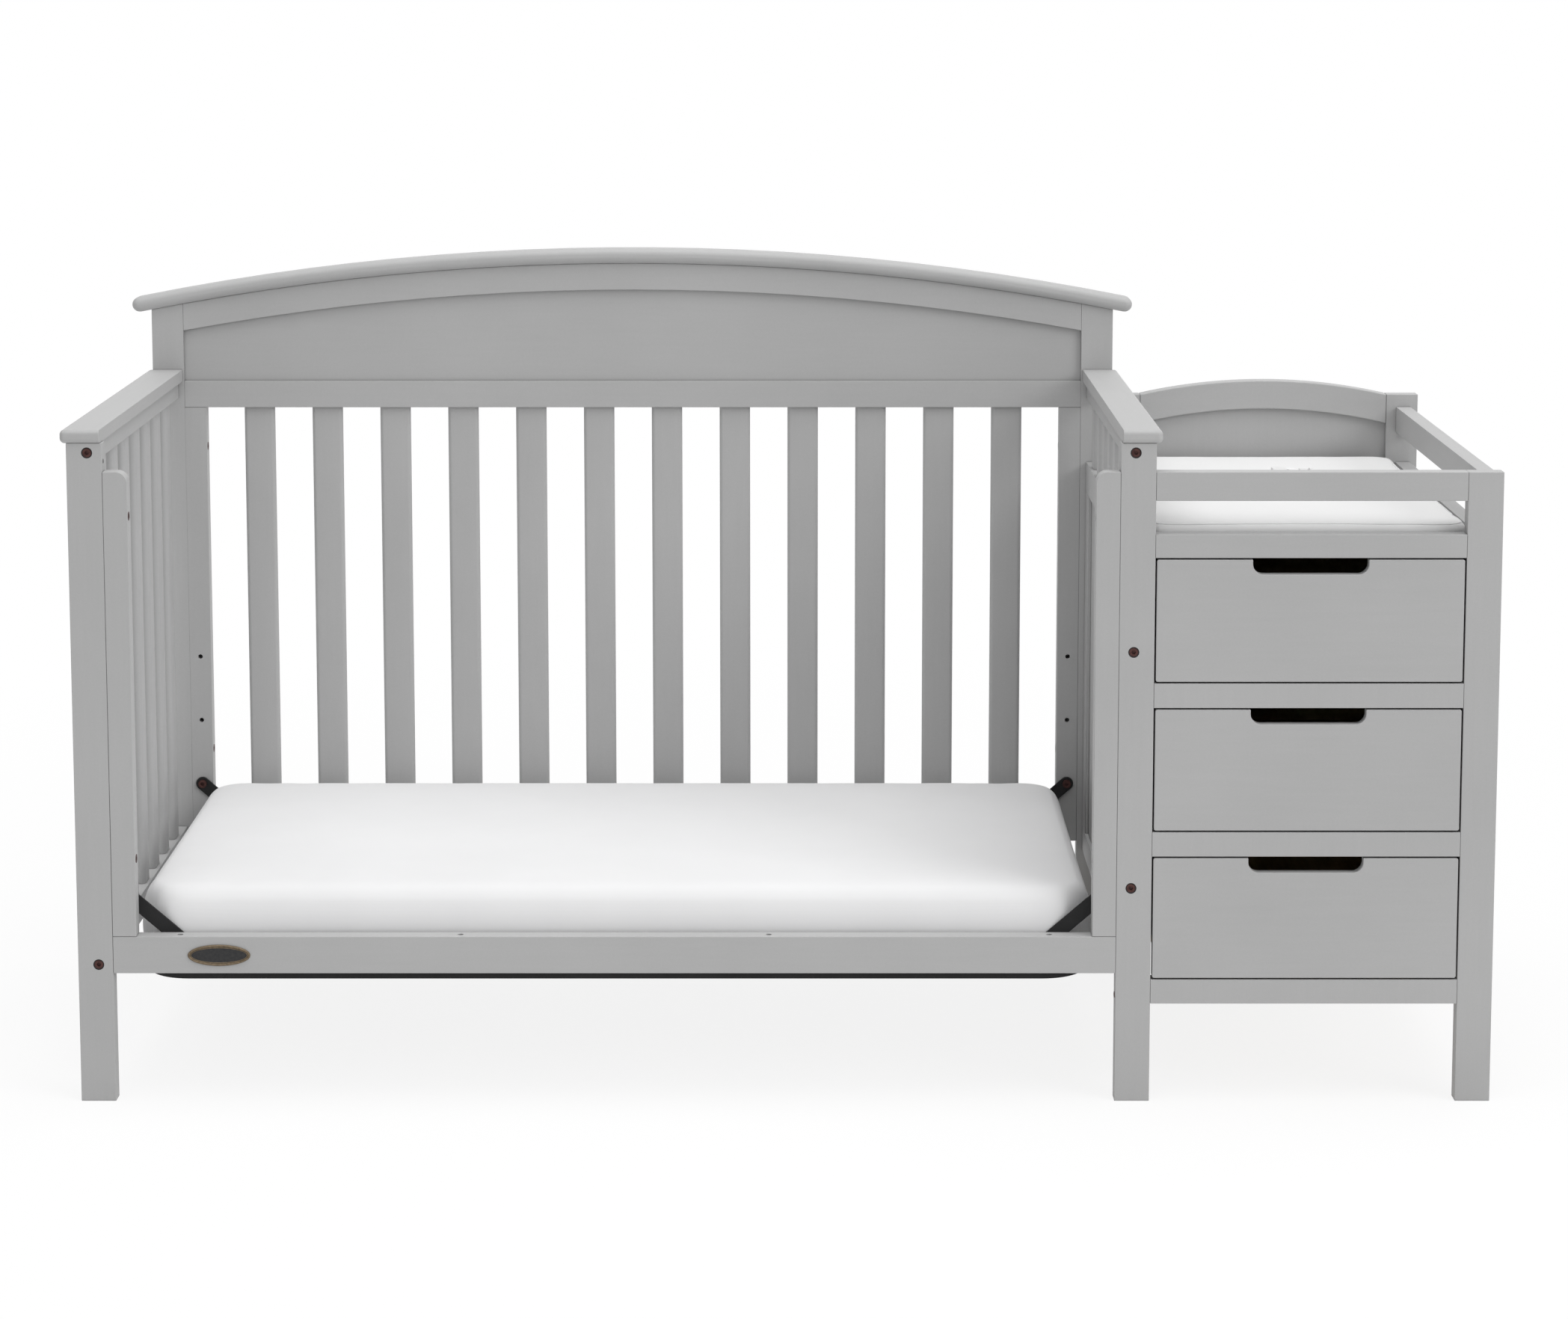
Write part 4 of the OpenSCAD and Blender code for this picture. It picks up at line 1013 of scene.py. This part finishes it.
def area_light(name, location, target, size, watts):
    """A rectangular lamp aimed at a point."""
    data = bpy.data.lights.new(name, "AREA")
    data.shape = "RECTANGLE"
    data.size, data.size_y = size
    data.energy = watts
    lamp = bpy.data.objects.new(name, data)
    bpy.context.scene.collection.objects.link(lamp)
    lamp.location = location
    lamp.rotation_euler = (Vector(target) - Vector(location)).to_track_quat("-Z", "Y").to_euler()


def white_for_camera(tree):
    """1 for camera, glossy and transmission rays, else 0."""
    path = add(tree, "ShaderNodeLightPath")
    seen = path.outputs["Is Camera Ray"]
    for other in ("Is Glossy Ray", "Is Transmission Ray"):
        most = add(tree, "ShaderNodeMath", operation="MAXIMUM")
        tree.links.new(seen, most.inputs[0])
        tree.links.new(path.outputs[other], most.inputs[1])
        seen = most.outputs[0]
    return seen


def make_world(ambient):
    """Even light from all sides, seen as white."""
    world = bpy.data.worlds.new("studio")
    bpy.context.scene.world = world
    world.use_nodes = True
    tree = world.node_tree
    tree.nodes.clear()
    out = add(tree, "ShaderNodeOutputWorld")
    mix = add(tree, "ShaderNodeMixShader")
    soft = add(tree, "ShaderNodeBackground", Strength=ambient)
    white = add(tree, "ShaderNodeBackground", Strength=1.0)
    soft.inputs["Color"].default_value = (1, 1, 1, 1)
    white.inputs["Color"].default_value = (1, 1, 1, 1)
    tree.links.new(white_for_camera(tree), mix.inputs[0])
    tree.links.new(soft.outputs[0], mix.inputs[1])
    tree.links.new(white.outputs[0], mix.inputs[2])
    tree.links.new(mix.outputs[0], out.inputs[0])


def make_floor():
    """Pale floor that keeps the object's shadow near it and fades to white further out."""
    bpy.ops.mesh.primitive_circle_add(vertices=96, radius=FLOOR_R, fill_type="NGON", location=(0, 0, 0))
    floor = bpy.context.object
    floor.name = "studio_floor"
    mat, tree, bsdf = new_material("studio_floor")
    bsdf.inputs["Base Color"].default_value = (0.88, 0.88, 0.88, 1)
    bsdf.inputs["Roughness"].default_value = 0.9
    bsdf.inputs["Specular IOR Level"].default_value = 0.1
    out = tree.nodes["Material Output"]
    white = add(tree, "ShaderNodeEmission", Strength=1.0)
    mix = add(tree, "ShaderNodeMixShader")
    source = add(tree, "ShaderNodeTexCoord")
    length = add(tree, "ShaderNodeVectorMath", operation="LENGTH")
    tree.links.new(source.outputs["Object"], length.inputs[0])
    fade = ramp(tree, length.outputs["Value"], 0.86, 1.0, FADE_FROM, FADE_TO)
    seen = white_for_camera(tree)
    both = add(tree, "ShaderNodeMath", operation="MULTIPLY")
    tree.links.new(fade, both.inputs[0])
    tree.links.new(seen, both.inputs[1])
    tree.links.new(both.outputs[0], mix.inputs[0])
    tree.links.new(bsdf.outputs[0], mix.inputs[1])
    tree.links.new(white.outputs[0], mix.inputs[2])
    tree.links.new(mix.outputs[0], out.inputs["Surface"])
    floor.data.materials.append(mat)


def make_camera():
    """The photograph's viewpoint, pitched down a little instead of shifted all the way."""
    data = bpy.data.cameras.new("camera")
    camera = bpy.data.objects.new("camera", data)
    bpy.context.scene.collection.objects.link(camera)
    camera.location = CAMERA_AT
    camera.rotation_euler = (math.radians(90 - CAMERA_PITCH), 0, 0)
    data.sensor_width = 36
    data.lens = CAMERA_LENS
    data.shift_x, data.shift_y = CAMERA_SHIFT
    data.clip_end = 100
    bpy.context.scene.camera = camera


make_world(AMBIENT)
make_floor()
area_light("overhead", (0.4, -0.85, 8.0), (0, 0, 0.4), (9.0, 7.0), 512)
area_light("right_key", (11.6, -8.8, 8.2), (-0.5, 0, 0.5), (9.1, 6.5), 815)
make_camera()

bpy.context.scene.view_settings.view_transform = "Standard"
